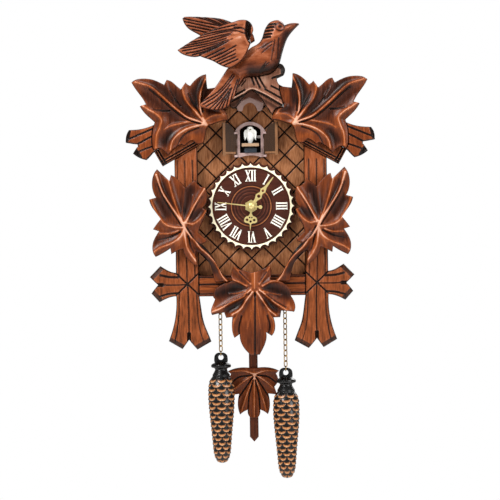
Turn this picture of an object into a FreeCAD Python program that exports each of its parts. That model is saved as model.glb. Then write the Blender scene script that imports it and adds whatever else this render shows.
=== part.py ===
import FreeCAD, Part
import math
import os

# Carved quartz cuckoo clock for a wall.
#
# Frame: the origin is the centre of the hanging hole, on the wall plane. +Y points into the wall, so the
# clock stands in front of it at y < 0; +Z is up and +X is to the right of someone facing the clock.
# A "depth" below is a distance in front of the wall, so depth 81 is the plane y = -81.
# Carved outlines are drawn as seen from the front, as (x, z) pairs. A third value marks a corner (tip or
# notch); the points between two corners lie on one smooth curve.

V = FreeCAD.Vector
ALONG_Y = V(0, 1, 0)
CORNER = 1

# ---- driving dimensions, mm -------------------------------------------------------------------------
case_half = 64.0            # half width over the side boards
case_bottom = -190.0        # underside of the floor
case_depth = 75.0           # wall plane to the back of the front panel
board = 6.0                 # side boards, floor, front panel, roof boards
back_board = 4.0            # back panel
ridge_z = 24.0              # top of the roof at the ridge
roof_slope = 36.0           # degrees
roof_half = 95.0            # half span of the roof at its eave corners
frame_thick = 12.0          # posts and rail, in front of the panel
leaf_thick = 14.0           # carved leaves, in front of the posts
seat = 0.3                  # gap round loose pieces that lift out or slide

hang_r = 4.0                # hole in the hanger plate
hanger_size = (18.0, 18.0, 1.2)
hanger_room_r = 8.5         # hole through the back panel behind the plate, for the hook's tip

post_x = 65.0               # centre line of a post
post_half = 11.5
cross_z = -177.5            # height of the crossing
rail_up, rail_down = 8.5, 12.5

dial_z = -100.0
disc_r, disc_thick = 46.0, 6.0
ring_r, ring_inner_r, ring_thick = 43.4, 39.2, 2.0
scallops = 32
scallop_depth = 2.8

fit = 0.05                  # radial clearance of every running fit
seconds_r = 1.0             # seconds arbor
minute_r = 2.0              # outside of the minute pipe
hour_r = 2.95               # outside of the hour pipe
bush_r = 4.0                # outside of the movement's threaded bush

door_half = 10.5            # half width of the doorway
door_bottom, door_spring, door_top = -46.0, -22.5, -18.0
surround_thick = 3.0
hinge_x = 14.6
door_thick = 1.6
door_open = 160.0           # degrees, at rest
bird_travel = 24.0

link_wire = 1.0             # brass wire of the chains
link_pitch = 5.45           # also the inner length of a link
link_width = 5.0
chain_x, chain_depth = 33.0, 62.0
links_left, links_right = 10, 13
staple_r, staple_wire = 3.0, 1.2
ring_bend, ring_wire = 2.6, 0.9         # ring between the last link and the weight
slack = 0.18 * link_wire    # gap where one wire hangs on another

pivot_z = -160.0            # pendulum pivot
pivot_r = 1.2
rod_depth, rod_thick, rod_width = 36.0, 4.0, 9.0
rod_bottom = -342.0

cell_r, cell_len = 13.0, 49.5

# ---- depths that follow from them -------------------------------------------------------------------
panel_front = case_depth + board
frame_front = panel_front + frame_thick
leaf_front = frame_front + leaf_thick
disc_front = panel_front + disc_thick
side_inner = case_half - board
floor_top = case_bottom + board
staple_z = case_bottom - 0.3
chain_top = staple_z - staple_r + staple_wire / 2 + slack - link_pitch / 2
roof_fall = math.tan(math.radians(roof_slope))
roof_drop = board / math.cos(math.radians(roof_slope))


def roof_under(x):
    """Height of the roof's underside at x."""
    return ridge_z - roof_drop - roof_fall * abs(x)


# ---- shape helpers ----------------------------------------------------------------------------------
def wire(points, depth):
    """Closed outline at a depth: straight between neighbouring corners, else a curve through the points."""
    edges = []
    run = []
    for p in points + [points[0]]:
        run.append(V(p[0], -depth, p[1]))
        if len(p) == 3 and len(run) > 1:
            if len(run) == 2:
                edges.append(Part.makeLine(run[0], run[1]))
            else:
                curve = Part.BSplineCurve()
                curve.interpolate(run)
                edges.append(curve.toShape())
            run = [run[-1]]
    return Part.Wire(edges)


def slab(points, back, front):
    """Board of the given outline between two depths."""
    return Part.Face(wire(points, front)).extrude(V(0, front - back, 0))


def corners(pairs):
    """Outline with straight sides only."""
    return [(x, z, CORNER) for x, z in pairs]


def placed(points, x, z, flip=1):
    """Outline moved to (x, z), and mirrored first where flip is -1."""
    return [(x + flip * p[0], z + p[1]) + tuple(p[2:]) for p in points]


def other_half(points):
    """The mirror image of a half outline, in reverse order, without its points on the middle line."""
    return [(-p[0],) + tuple(p[1:]) for p in reversed(points) if p[0] > 0]


def block(x0, x1, back, front, z0, z1):
    """Box between two x values, two depths and two heights."""
    return Part.makeBox(x1 - x0, front - back, z1 - z0, V(x0, -front, z0))


def rod(r, x, z, back, front):
    """Round bar along Y between two depths."""
    return Part.makeCylinder(r, front - back, V(x, -front, z), ALONG_Y)


def mirrored(shape):
    """The same piece for the right side."""
    return shape.mirror(V(0, 0, 0), V(1, 0, 0))


def together(shapes):
    """Several separate solids in one node."""
    return Part.makeCompound(shapes)


def scalloped_disc(r, back, front):
    """Disc on the dial's axis, its edge concave scallops that meet in cusps on radius r."""
    edges = []
    for i in range(scallops):
        arc = []
        for share, reach in ((0, r), (0.5, r - scallop_depth), (1, r)):
            a = 2 * math.pi * (i + share) / scallops
            arc.append(V(reach * math.sin(a), -front, dial_z + reach * math.cos(a)))
        edges.append(Part.Arc(*arc).toShape())
    return Part.Face(Part.Wire(edges)).extrude(V(0, front - back, 0))


def turned(profile, x, depth):
    """Solid turned about a vertical axis from (radius, z) points, from the axis at the top to it at the foot."""
    points = [V(x + r, -depth, z) for r, z in profile]
    face = Part.Face(Part.makePolygon(points + [points[0]]))
    return face.revolve(V(x, -depth, 0), V(0, 0, 1), 360)


def gear(teeth, module, x, z, back, front, phase=0.0):
    """Wheel with straight-flanked teeth; phase is the first tooth's angle, clockwise from the top."""
    pitch_r = module * teeth / 2
    step = 2 * math.pi / teeth
    spots = []
    for i in range(teeth):
        for share, reach in ((-0.24, -1.2), (-0.13, 0.9), (0.13, 0.9), (0.24, -1.2)):
            a = math.radians(phase) + (i + share) * step
            r = pitch_r + reach * module
            spots.append((x + r * math.sin(a), z + r * math.cos(a)))
    return slab(corners(spots), back, front)


# ---- case -------------------------------------------------------------------------------------------
def side_board(flip):
    """Side of the case, its top planed to the roof's slope."""
    outline = [(side_inner, case_bottom), (case_half, case_bottom),
               (case_half, roof_under(case_half)), (side_inner, roof_under(side_inner))]
    return slab(placed(corners(outline), 0, 0, flip), 0, case_depth)


def staple_legs():
    """Places across the floor of the legs of the two chain staples."""
    return [side * chain_x + leg * staple_r for side in (-1, 1) for leg in (-1, 1)]


def case_floor():
    """Floor, with the slot that the pendulum swings in."""
    base = block(-side_inner, side_inner, back_board, case_depth, case_bottom, floor_top)
    base = base.cut(block(-12, 12, rod_depth - 3, rod_depth + rod_thick + 3, case_bottom - 1, floor_top + 1))
    for x in staple_legs():
        base = base.cut(Part.makeCylinder(staple_wire / 2, 4, V(x, -chain_depth, case_bottom)))
    return base


def gable_outline(half):
    """House shape of the given half width, up to the roof's underside."""
    return corners([(-half, case_bottom), (half, case_bottom), (half, roof_under(half)),
                    (0, roof_under(0)), (-half, roof_under(half))])


def arch(half, bottom, spring, top):
    """Doorway outline: straight sides and one arc over them."""
    rise = top - spring
    r = (half * half + rise * rise) / (2 * rise)
    side = math.asin(half / r)
    over = [(r * math.sin(side * k / 4), top - r + r * math.cos(side * k / 4)) for k in range(-3, 4)]
    return [(-half, bottom, CORNER), (-half, spring, CORNER)] + over + \
        [(half, spring, CORNER), (half, bottom, CORNER)]


def front_panel():
    """Front panel, open at the doorway and at the movement's bush."""
    panel = slab(gable_outline(case_half), case_depth, panel_front)
    doorway = slab(arch(door_half, door_bottom, door_spring, door_top), case_depth - 1, panel_front + 1)
    return panel.cut(doorway).cut(rod(bush_r, 0, dial_z, case_depth - 1, panel_front + 1))


hatch = (-52.0, 52.0, -181.0, -154.0)      # battery hatch in the back panel: x0, x1, z0, z1
switch_slot = (24.0, 38.0, -62.5, -57.5)
speaker_at = (-28.0, -60.0)
screw_spots = [(sx * (side_inner - 5), z) for sx in (-1, 1) for z in (-45, -96, -147)]


def back_panel():
    """Back panel with hanger recess, speaker holes, switch slot, battery hatch and screw holes."""
    w, h, t = hanger_size
    panel = slab(gable_outline(side_inner), 0, back_board)
    panel = panel.cut(block(-w / 2, w / 2, -1, t, -h / 2, h / 2))
    panel = panel.cut(rod(hanger_room_r, 0, 0, -1, back_board + 1))
    panel = panel.cut(block(hatch[0], hatch[1], -1, back_board + 1, hatch[2], hatch[3]))
    panel = panel.cut(block(switch_slot[0], switch_slot[1], -1, back_board + 1, *switch_slot[2:]))
    for k in range(6):
        a = k * math.pi / 3
        x, z = speaker_at[0] + 9 * math.cos(a), speaker_at[1] + 9 * math.sin(a)
        panel = panel.cut(rod(2, x, z, -1, back_board + 1))
    for x, z in screw_spots:
        panel = panel.cut(rod(1.6, x, z, -1, back_board + 1))
        panel = panel.cut(rod(3.2, x, z, -1, 2))
    return panel


def hanger_plate():
    """Thin steel plate that takes the wall hook, let in flush with the back."""
    w, h, t = hanger_size
    plate = block(-w / 2, w / 2, 0, t, -h / 2, h / 2)
    return plate.cut(rod(hang_r, 0, 0, -1, t + 1))


def back_screws():
    """Wood screws that hold the back panel, their heads sunk in it."""
    screws = []
    for x, z in screw_spots:
        head = rod(3.1, x, z, 0.3, 2)
        shank = rod(1.5, x, z, 2, back_board)
        screws.append(head.fuse(shank).cut(block(x - 2.4, x + 2.4, 0, 1, z - 0.4, z + 0.4)))
    return together(screws)


def roof_board(flip):
    """Roof board from the ridge to the eave, its lower end cut square to the slope."""
    s, c = math.sin(math.radians(roof_slope)), math.cos(math.radians(roof_slope))
    eave_z = ridge_z - roof_fall * roof_half
    outline = [(0, ridge_z), (roof_half, eave_z), (roof_half - board * s, eave_z - board * c),
               (0, ridge_z - roof_drop)]
    return slab(placed(corners(outline), 0, 0, flip), 0.5, panel_front + 4)


# ---- front frame ------------------------------------------------------------------------------------
eave_corner = (88.5, -58.6)
eave_slope = 29.2
eave_height = 16.8
eave_inner = 50.0


def eave_line(x):
    """Height of the eave board's lower edge at x."""
    return eave_corner[1] + (eave_corner[0] - x) * math.tan(math.radians(eave_slope))


def eave_board(flip):
    """Board along the eave, its outer end square to its slope."""
    s, c = math.sin(math.radians(eave_slope)), math.cos(math.radians(eave_slope))
    top = (eave_corner[0] + eave_height * s, eave_corner[1] + eave_height * c)
    outline = [eave_corner, top, (eave_inner, eave_line(eave_inner) + eave_height / c),
               (eave_inner, eave_line(eave_inner))]
    return slab(placed(corners(outline), 0, 0, flip), panel_front + 4, frame_front)


# Lower part of a post from the crossing: fishtail arm and foot, for the left post
POST_LOWER = [
    (-11.5, 11.5, CORNER), (-16.5, 12.4), (-22, 15), (-27.4, 18.4, CORNER),
    (-38, 7.6, CORNER), (-29.8, -0.4, CORNER), (-36.6, -8.9, CORNER), (-28.5, -17.9, CORNER),
    (-22.5, -14.8), (-17, -12.8), (-11.5, -12, CORNER),
    (-11.7, -25), (-13.4, -37), (-16, -47), (-19.7, -57.2, CORNER), (-6, -65.3, CORNER),
    (0.7, -56, CORNER), (9, -66, CORNER), (22.9, -58.2, CORNER),
    (19.8, -50), (16, -40), (13.6, -28), (11.5, -12.5, CORNER)]


def post(flip):
    """Post with its fishtail arm and foot, its top cut to the eave."""
    outline = [(post_half, eave_line(post_x - post_half) - cross_z, CORNER),
               (-post_half, eave_line(post_x + post_half) - cross_z, CORNER)] + POST_LOWER
    return slab(placed(outline, -flip * post_x, cross_z, flip), panel_front, frame_front)


def cross_rail():
    """Rail between the posts, under the panel's edge."""
    reach = post_x - post_half
    return block(-reach, reach, panel_front, frame_front - 0.5, cross_z - rail_down, cross_z + rail_up)


def gable_trim():
    """Dark boards along the gable under the crown, and the scalloped infill in its apex."""
    half = [(0, ridge_z), (34, ridge_z - 34 * 0.53), (30, -3), (24, -1.5), (12, 4.6), (0, 9.6)]
    boards = [slab(placed(corners(half), 0, 0, flip), panel_front + 4, frame_front) for flip in (-1, 1)]
    arched = [(-14.5, roof_under(14.5), CORNER), (-12.5, -2.5, CORNER), (-9.5, -4), (-7.2, -3, CORNER),
              (-5.6, 1.6), (0, 4.8), (5.6, 1.6), (7.2, -3, CORNER), (9.5, -4), (12.5, -2.5, CORNER),
              (14.5, roof_under(14.5), CORNER), (0, roof_under(0), CORNER)]
    return together(boards + [slab(arched, panel_front, panel_front + 3)])


# ---- carved leaves, drawn from the knot where the ribs meet, for the left side ---------------------------
corner_knot = (46.3, -17.8)
CORNER_LEAF = [
    (-71.5, 42.8, CORNER), (-67, 45.6), (-59, 46.6), (-50, 45.3), (-43, 42.3), (-39, 40.2, CORNER),
    (-36.5, 45, CORNER), (-31, 42.8), (-26, 38.3), (-22, 35.3, CORNER), (-17.5, 42, CORNER),
    (-15.5, 40), (-13, 38.7, CORNER), (-8, 44.5), (-2, 48.6), (3, 50, CORNER), (3.4, 42), (4.2, 35.6, CORNER),
    (9, 36.2), (16.5, 37.4, CORNER), (16, 31), (14.3, 24), (12.8, 19), (13.2, 15.4, CORNER),
    (17, 15.8), (21, 14, CORNER), (23.6, 9), (24.4, 3.7, CORNER), (17, 3.2), (12, 1.4), (5.5, -0.6, CORNER),
    (2.5, -5), (1.2, -11.5), (-1, -18.5, CORNER), (-5, -19.4), (-8, -18.7, CORNER), (-11, -15.5, CORNER),
    (-15, -17.2), (-19.5, -21.2, CORNER), (-22.5, -19.5, CORNER), (-29, -23.3), (-33, -27), (-36, -30.3, CORNER),
    (-39.5, -26.2), (-45, -23.6), (-48.7, -26, CORNER), (-51.2, -22.5), (-52, -16.5), (-50.8, -3.5),
    (-49, 2.8, CORNER), (-54, 7.4), (-60, 13.4), (-63.4, 18.8, CORNER), (-57.5, 20.6, CORNER),
    (-61, 27), (-67, 35.2)]

TWIGS = [
    (-47.7, 1.2, CORNER), (-52.5, -1), (-58.5, -3), (-66, -4.3), (-75, -4.6, CORNER),
    (-77.5, -9.5), (-78.2, -17, CORNER), (-71, -18.3, CORNER), (-66.5, -18.8, CORNER), (-66, -21.2, CORNER),
    (-69.3, -25), (-71, -28.4, CORNER), (-64.5, -32.6), (-58, -34.6, CORNER), (-54.5, -31.3),
    (-51.2, -27.5, CORNER), (-48.8, -26.1, CORNER), (-51.2, -22.5), (-52, -16.5), (-50.8, -3.5),
    (-49, 2.8, CORNER)]

side_knot = (64.8, -122.4)
SIDE_LEAF = [
    (-28.8, 60.4, CORNER), (-32.7, 53.9), (-34.1, 45.9), (-33.4, 39.5), (-30.2, 32.1, CORNER),
    (-37, 30.1, CORNER), (-35, 23.9), (-30.7, 17.4), (-25.7, 10.4, CORNER), (-29.7, 5.9), (-33.7, 0.3, CORNER),
    (-27.7, -1.6, CORNER), (-31, -6.6), (-33.9, -13.1), (-34.4, -19.6), (-31.4, -27.1, CORNER),
    (-25.2, -24.1), (-16.5, -18.6, CORNER), (-15.7, -24.6, CORNER), (-11.2, -22.1), (-3.7, -19.4, CORNER),
    (-2.3, -25.5), (1.8, -31), (9.8, -37.6, CORNER), (9.3, -30), (8.6, -22.4, CORNER),
    (14.8, -25.6), (20, -30.6), (23.6, -37.6), (25.6, -44.6), (27.5, -53, CORNER), (43.3, -52.6, CORNER),
    (36, -45.8), (31.4, -39), (27.6, -31), (22.4, -23.2), (14.8, -14.6, CORNER), (18.5, -13.6),
    (20.2, -10.8, CORNER), (16, -7.4), (11.8, -3.4, CORNER), (15.3, 6.4), (19.3, 14.4), (20.3, 19.2, CORNER),
    (16.1, 21.2, CORNER), (20, 26.4), (21, 32.4), (20.5, 37.6), (18.9, 42.1, CORNER), (14.8, 42.4),
    (11.3, 45.2), (9, 49.4, CORNER), (4.3, 45.7), (-0.5, 41.4, CORNER), (-5.7, 47.4), (-10.7, 52.2),
    (-15, 54.4, CORNER), (-16.5, 48.4, CORNER), (-22.7, 54.4)]

centre_knot = (2.5, -182.0)
CENTRE_LEAF = [
    (-21, 22, CORNER), (-14.5, 19), (-7.5, 16.5), (-2.5, 15.6), (3.5, 17), (9.5, 19.5), (14.5, 22.5, CORNER),
    (16.7, 18), (16.6, 13), (15.6, 8.2, CORNER), (22.5, 7), (28.5, 4.5), (33.5, 0), (36, -4), (36, -8.3, CORNER),
    (38.7, -13), (40.2, -18.5), (38.8, -24.4, CORNER), (33, -23.4), (26, -23, CORNER), (25, -29.5, CORNER),
    (18.2, -29.6, CORNER), (19.8, -37), (19, -43.6), (16.2, -48, CORNER), (10.8, -44.5, CORNER),
    (11, -50), (9, -57), (4, -66.6, CORNER), (-4.5, -67, CORNER), (-9.5, -62.5), (-13.5, -56.5),
    (-15.8, -46, CORNER), (-21, -49.6, CORNER), (-23.2, -42), (-23.4, -35.5), (-22.8, -28.6, CORNER),
    (-29, -29.5, CORNER), (-31, -24, CORNER), (-37.5, -25.2), (-43, -26.5, CORNER), (-43.9, -21),
    (-42, -15.6), (-40, -10.5, CORNER), (-42, -7), (-40.4, -2.4), (-35.5, 2.2), (-28.5, 5.6),
    (-20.2, 6.8, CORNER), (-23.6, 12.4), (-23.2, 17.2)]


def leaf(outline, knot, flip):
    """Carved leaf, glued to the front of the frame."""
    return slab(placed(outline, -flip * knot[0], knot[1], flip), frame_front, leaf_front)


# ---- crown block and bird on the gable, drawn in the clock's own x and z ---------------------------------
CROWN = [
    (-20, 1.2, CORNER), (-1, 14.4), (1.8, 15.4), (4, 14.8), (33, -1.4, CORNER), (33, 19, CORNER),
    (29, 21.5), (27.5, 27.5, CORNER), (34, 30.4, CORNER), (35.8, 35), (33, 41, CORNER), (30.6, 42, CORNER),
    (26, 37, CORNER), (20, 32), (13, 30), (5, 29), (-3, 29.6), (-9, 28, CORNER), (-22, 20, CORNER)]
BIRD_BODY = [
    (50.4, 81, CORNER), (43, 81.6), (36.4, 79.7, CORNER), (34.2, 82.2), (30.4, 84.4), (25.4, 84.4), (20.6, 82.2),
    (17.5, 78.5), (15, 73), (13.3, 67.5), (9.5, 61.8), (2.5, 58), (-5, 51.5), (-14, 43.5), (-23, 35.5, CORNER),
    (-9, 24, CORNER), (-2, 28.6), (6.2, 29), (14.4, 30), (21.4, 32), (26.4, 36), (30.2, 42), (32.6, 50),
    (35.6, 60), (38.4, 67), (43.4, 74)]
BIRD_TAIL = [
    (-22, 36.4, CORNER), (-32.6, 20.2), (-39.6, 12), (-47.4, 3.8), (-49.4, -0.2, CORNER), (-44.4, -2.8),
    (-37.4, -4.2), (-30.4, -4.2), (-24, -2.4), (-20.4, 0.2, CORNER), (-17.6, 5), (-13.8, 12), (-10.6, 20),
    (-6, 31, CORNER), (-10, 40, CORNER)]
WING_FRONT = [
    (-12.6, 82, CORNER), (-28, 77.2), (-45.6, 69.6, CORNER), (-54, 64.8), (-63.4, 59.2), (-70.6, 54.6, CORNER),
    (-66.6, 51), (-60.6, 48.6), (-54, 47.6), (-48.4, 48.4, CORNER), (-42.6, 46), (-36.6, 43.8),
    (-30.6, 40.4), (-18.6, 36.4, CORNER), (-9, 42), (-2, 52), (2, 61, CORNER), (2.2, 68), (4.4, 72.8),
    (3.6, 77.4), (1.4, 81), (-4, 83.2)]
WING_BACK = [
    (-12, 82.4, CORNER), (-16.4, 84.4), (-23.4, 87.3), (-33.4, 89.4), (-48.4, 90.6), (-58, 91), (-64.4, 90.8, CORNER),
    (-66.4, 89.2, CORNER), (-64.4, 84.2), (-61.4, 80.2), (-56.4, 76.6), (-45.6, 69.6, CORNER),
    (-28, 62, CORNER), (-8, 60), (6, 66, CORNER), (2, 76)]

tail_back = leaf_front + 0.4
body_back, body_front = frame_front + 3, frame_front + 26


def top_bird():
    """Body, head and tail of the bird, one carving; the tail hangs in front of the left leaf."""
    body = slab(BIRD_BODY, body_back, body_front)
    tail = slab(BIRD_TAIL, tail_back, tail_back + 7)
    return body.fuse(tail).removeSplitter()


# ---- dial and hands ---------------------------------------------------------------------------------
hour_depth, minute_depth, seconds_depth = [disc_front + over for over in (4, 6, 8)]
hand_thick = 0.8
hour_angle, minute_angle, seconds_angle = 183.0, 38.0, 277.0      # clockwise from twelve, at rest


def pointing(shape, angle):
    """Hand drawn pointing up, turned clockwise about the dial's axis."""
    turned_hand = shape.copy()
    turned_hand.rotate(V(0, 0, dial_z), ALONG_Y, angle)
    return turned_hand


def hand(half_outline, hub_r, hub_hole, depth, holes, angle):
    """Flat hand: mirrored half outline, hub ring, and its pierced holes as (x, z, r)."""
    blade = slab(placed(half_outline + other_half(half_outline), 0, dial_z), depth, depth + hand_thick)
    blade = blade.fuse(rod(hub_r, 0, dial_z, depth, depth + hand_thick))
    for x, z, r in holes:
        blade = blade.cut(rod(r, x, dial_z + z, depth - 1, depth + hand_thick + 1))
    blade = blade.cut(rod(hub_hole, 0, dial_z, depth - 1, depth + hand_thick + 1))
    return pointing(blade, angle)


def hour_hand():
    """Hour hand with a trefoil of four holes."""
    half = [(0, 25, CORNER), (0.6, 20, CORNER), (1.8, 17.4), (5.2, 16.6), (6.6, 14, CORNER), (5.4, 11.2),
            (2.6, 10, CORNER), (1.2, 8), (1.2, 3, CORNER)]
    holes = [(-3.6, 13.8, 1.3), (3.6, 13.8, 1.3), (0, 15.4, 1.2), (-1.1, 11.4, 0.8), (1.1, 11.4, 0.8)]
    return hand(half, 4.6, hour_r, hour_depth, holes, hour_angle)


def minute_hand():
    """Minute hand with two pierced diamonds."""
    half = [(0, 37, CORNER), (0.5, 36, CORNER), (1.3, 24, CORNER), (3, 19.6, CORNER), (1.6, 16.6, CORNER),
            (3.4, 12.4, CORNER), (1.6, 8, CORNER), (1.4, 2, CORNER)]
    holes = [(0, 12.6, 1.7), (0, 19.4, 1.3)]
    return hand(half, 3.9, minute_r, minute_depth, holes, minute_angle)


def second_hand():
    """Seconds hand with a round counterweight."""
    blade = slab(corners([(-0.35, 34), (0.35, 34), (0.7, -8), (-0.7, -8)]), seconds_depth, seconds_depth + 0.6)
    blade.translate(V(0, 0, dial_z))
    blade = blade.fuse(rod(2.2, 0, dial_z, seconds_depth, seconds_depth + 0.6))
    blade = blade.fuse(rod(1.9, 0, dial_z - 9.3, seconds_depth, seconds_depth + 0.6))
    return pointing(blade.cut(rod(seconds_r, 0, dial_z, seconds_depth - 1, seconds_depth + 2)), seconds_angle)


def dial_disc():
    """Scalloped wooden disc behind the dial ring, over the movement's bush."""
    disc = scalloped_disc(disc_r, panel_front, disc_front)
    return disc.cut(rod(bush_r, 0, dial_z, panel_front - 1, disc_front + 1))


def dial_ring():
    """Scalloped ring glued on the disc."""
    ring = scalloped_disc(ring_r, disc_front, disc_front + ring_thick)
    return ring.cut(rod(ring_inner_r, 0, dial_z, disc_front - 1, disc_front + ring_thick + 1))


# ---- quartz movement --------------------------------------------------------------------------------
move_half, move_wall = 28.0, 1.5
move_back = case_depth - 19.0             # rear face of the movement's cover
gear_gap = 12.0                           # centre distance of the third and intermediate wheels
works_gap = 13.0                          # centre distance of the motion works
rotor_gap = 11.2
third_at = (0.0, dial_z + gear_gap)
middle_at = (0.0, dial_z - gear_gap)
rotor_at = (rotor_gap, dial_z - gear_gap)
works_at = (works_gap, dial_z)
arbor_r = 0.6
knob_arbor_r = 1.0

# Tooth counts: driver pinion, driven wheel
pinion = 8
seconds_teeth, middle_teeth, third_teeth, minute_teeth = 40, 48, 60, 64
cannon_teeth, works_teeth, works_pinion, hour_teeth = 12, 36, 10, 40
rotor_module = 2 * rotor_gap / (pinion + middle_teeth)
middle_module = 2 * gear_gap / (pinion + seconds_teeth)
third_module = 2 * gear_gap / (pinion + third_teeth)
minute_module = 2 * gear_gap / (pinion + minute_teeth)
cannon_module = 2 * works_gap / (cannon_teeth + works_teeth)
hour_module = 2 * works_gap / (works_pinion + hour_teeth)


def level(k):
    """Back and front depth of the gear level k, counted from the rear cover."""
    back = move_back + move_wall + 3.9 + 2.1 * k
    return back, back + 1.3


def half_tooth(teeth):
    """Angle of half a tooth step, which puts a gap where a tooth would be."""
    return 180.0 / teeth


def movement_case():
    """Front shell of the movement, with its threaded bush and pivot holes."""
    outer = block(-move_half, move_half, move_back + move_wall, case_depth,
                  dial_z - move_half, dial_z + move_half)
    inner = block(-move_half + move_wall, move_half - move_wall, move_back + move_wall,
                  case_depth - move_wall, dial_z - move_half + move_wall, dial_z + move_half - move_wall)
    shell = outer.cut(inner).fuse(rod(bush_r, 0, dial_z, case_depth - move_wall, hour_depth - 1))
    shell = shell.cut(rod(hour_r + fit, 0, dial_z, case_depth - 5, hour_depth))
    for x, z in (third_at, middle_at, rotor_at):
        shell = shell.cut(rod(arbor_r + fit, x, z, case_depth - 3, case_depth - 0.4))
    return shell.cut(rod(knob_arbor_r + fit, works_at[0], works_at[1], case_depth - 3, case_depth - 0.4))


def movement_cover():
    """Rear cover with the other pivot holes; the setting knob's arbor passes through it."""
    cover = block(-move_half, move_half, move_back, move_back + move_wall, dial_z - move_half, dial_z + move_half)
    for x, z in (third_at, middle_at, rotor_at):
        cover = cover.cut(rod(arbor_r + fit, x, z, move_back + 0.4, move_back + 3))
    cover = cover.cut(rod(seconds_r + fit, 0, dial_z, move_back + 0.4, move_back + 3))
    return cover.cut(rod(knob_arbor_r + fit, works_at[0], works_at[1], move_back - 1, move_back + 3))


def bush_nut():
    """Hexagon nut that clamps dial and case to the movement."""
    flat = 6.6
    spots = [(flat * math.sin(k * math.pi / 3), flat * math.cos(k * math.pi / 3)) for k in range(6)]
    nut = slab(placed(corners(spots), 0, dial_z), disc_front, disc_front + 2)
    return nut.cut(rod(bush_r, 0, dial_z, disc_front - 1, disc_front + 3))


def arbor(r, at):
    """Loose arbor between the pivot holes of the two shells."""
    return rod(r, at[0], at[1], move_back + 0.6, case_depth - 0.6)


def rotor():
    """Stepping motor's magnet with its pinion."""
    magnet = rod(3.2, rotor_at[0], rotor_at[1], move_back + move_wall + 1.2, move_back + move_wall + 3.4)
    teeth = gear(pinion, rotor_module, rotor_at[0], rotor_at[1], *level(0), phase=90 + half_tooth(pinion))
    return magnet.fuse(teeth).fuse(arbor(arbor_r, rotor_at))


def intermediate_wheel():
    """Wheel driven by the rotor; its pinion drives the seconds wheel."""
    wheel = gear(middle_teeth, rotor_module, middle_at[0], middle_at[1], *level(0), phase=90)
    small = gear(pinion, middle_module, middle_at[0], middle_at[1], *level(1), phase=half_tooth(pinion))
    return wheel.fuse(small).fuse(arbor(arbor_r, middle_at))


def seconds_wheel():
    """Seconds wheel with its pinion and the long arbor that carries the seconds hand."""
    wheel = gear(seconds_teeth, middle_module, 0, dial_z, *level(1))
    small = gear(pinion, third_module, 0, dial_z, *level(2), phase=half_tooth(pinion))
    shaft = rod(seconds_r, 0, dial_z, move_back + 0.6, seconds_depth + 0.6)
    return wheel.fuse(small).fuse(shaft)


def third_wheel():
    """Wheel between the seconds pinion and the minute wheel."""
    wheel = gear(third_teeth, third_module, third_at[0], third_at[1], *level(2), phase=0)
    small = gear(pinion, minute_module, third_at[0], third_at[1], *level(3), phase=half_tooth(pinion))
    return wheel.fuse(small).fuse(arbor(arbor_r, third_at))


def minute_wheel():
    """Minute wheel, cannon pinion and the pipe that carries the minute hand."""
    back = level(3)[0]
    wheel = gear(minute_teeth, minute_module, 0, dial_z, *level(3))
    small = gear(cannon_teeth, cannon_module, 0, dial_z, *level(4), phase=half_tooth(cannon_teeth) + 90)
    pipe = rod(minute_r, 0, dial_z, back, minute_depth + hand_thick)
    whole = wheel.fuse(small).fuse(pipe)
    return whole.cut(rod(seconds_r + fit, 0, dial_z, back - 1, minute_depth + 2))


def setting_knob():
    """Motion-work wheel and pinion on the arbor of the knob behind the movement."""
    x, z = works_at
    wheel = gear(works_teeth, cannon_module, x, z, *level(4), phase=-90)
    small = gear(works_pinion, hour_module, x, z, *level(5), phase=half_tooth(works_pinion) - 90)
    shaft = rod(knob_arbor_r, x, z, move_back - 4, case_depth - 0.6)
    knob = gear(18, 0.7, x, z, move_back - 7, move_back - 1)
    return wheel.fuse(small).fuse(shaft).fuse(knob)


def hour_wheel():
    """Hour wheel and the pipe that carries the hour hand."""
    back = level(5)[0]
    wheel = gear(hour_teeth, hour_module, 0, dial_z, *level(5), phase=90)
    whole = wheel.fuse(rod(hour_r, 0, dial_z, back, hour_depth + hand_thick))
    return whole.cut(rod(minute_r + fit, 0, dial_z, back - 1, hour_depth + 2))


def stepper_coil():
    """Stator sheet round the rotor, and the coil beside it."""
    back = move_back + move_wall
    stator = block(6, 24, back + 1.6, back + 2.6, dial_z - 21, dial_z - 7)
    stator = stator.cut(rod(3.7, rotor_at[0], rotor_at[1], back, back + 4))
    coil = Part.makeCylinder(2.6, 13, V(20.5, -(back + 2.9), dial_z - 6.8))
    return together([stator, coil])


def circuit_board():
    """Circuit board inside the movement, with its chip."""
    back = move_back + move_wall
    card = block(-25, -11, back, back + 1.2, dial_z - 24, dial_z + 20)
    return card.fuse(block(-22, -14, back + 1.2, back + 3, dial_z - 6, dial_z + 2))


# ---- battery, speaker and switch ---------------------------------------------------------------------
tray_back, tray_front = back_board, back_board + 2 * cell_r + 4.0
tray_z = (hatch[2] + hatch[3]) / 2


def battery_tray():
    """Open-backed tray behind the hatch."""
    half_h = cell_r + 0.4
    outer = block(-side_inner, side_inner, tray_back, tray_front, tray_z - half_h - 1.5, tray_z + half_h + 1.5)
    inner = block(-cell_len - 1.5, cell_len + 1.5, tray_back - 1, tray_front - 1.5,
                  tray_z - half_h, tray_z + half_h)
    return outer.cut(inner)


def batteries():
    """Two C cells end to end."""
    depth = tray_back + cell_r + 1.5
    cells = []
    for start in (-cell_len - 0.6, 0.6):
        can = Part.makeCylinder(cell_r, cell_len - 2, V(start, -depth, tray_z), V(1, 0, 0))
        nub = Part.makeCylinder(3.2, 2, V(start + cell_len - 2, -depth, tray_z), V(1, 0, 0))
        cells.append(can.fuse(nub))
    return together(cells)


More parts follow.
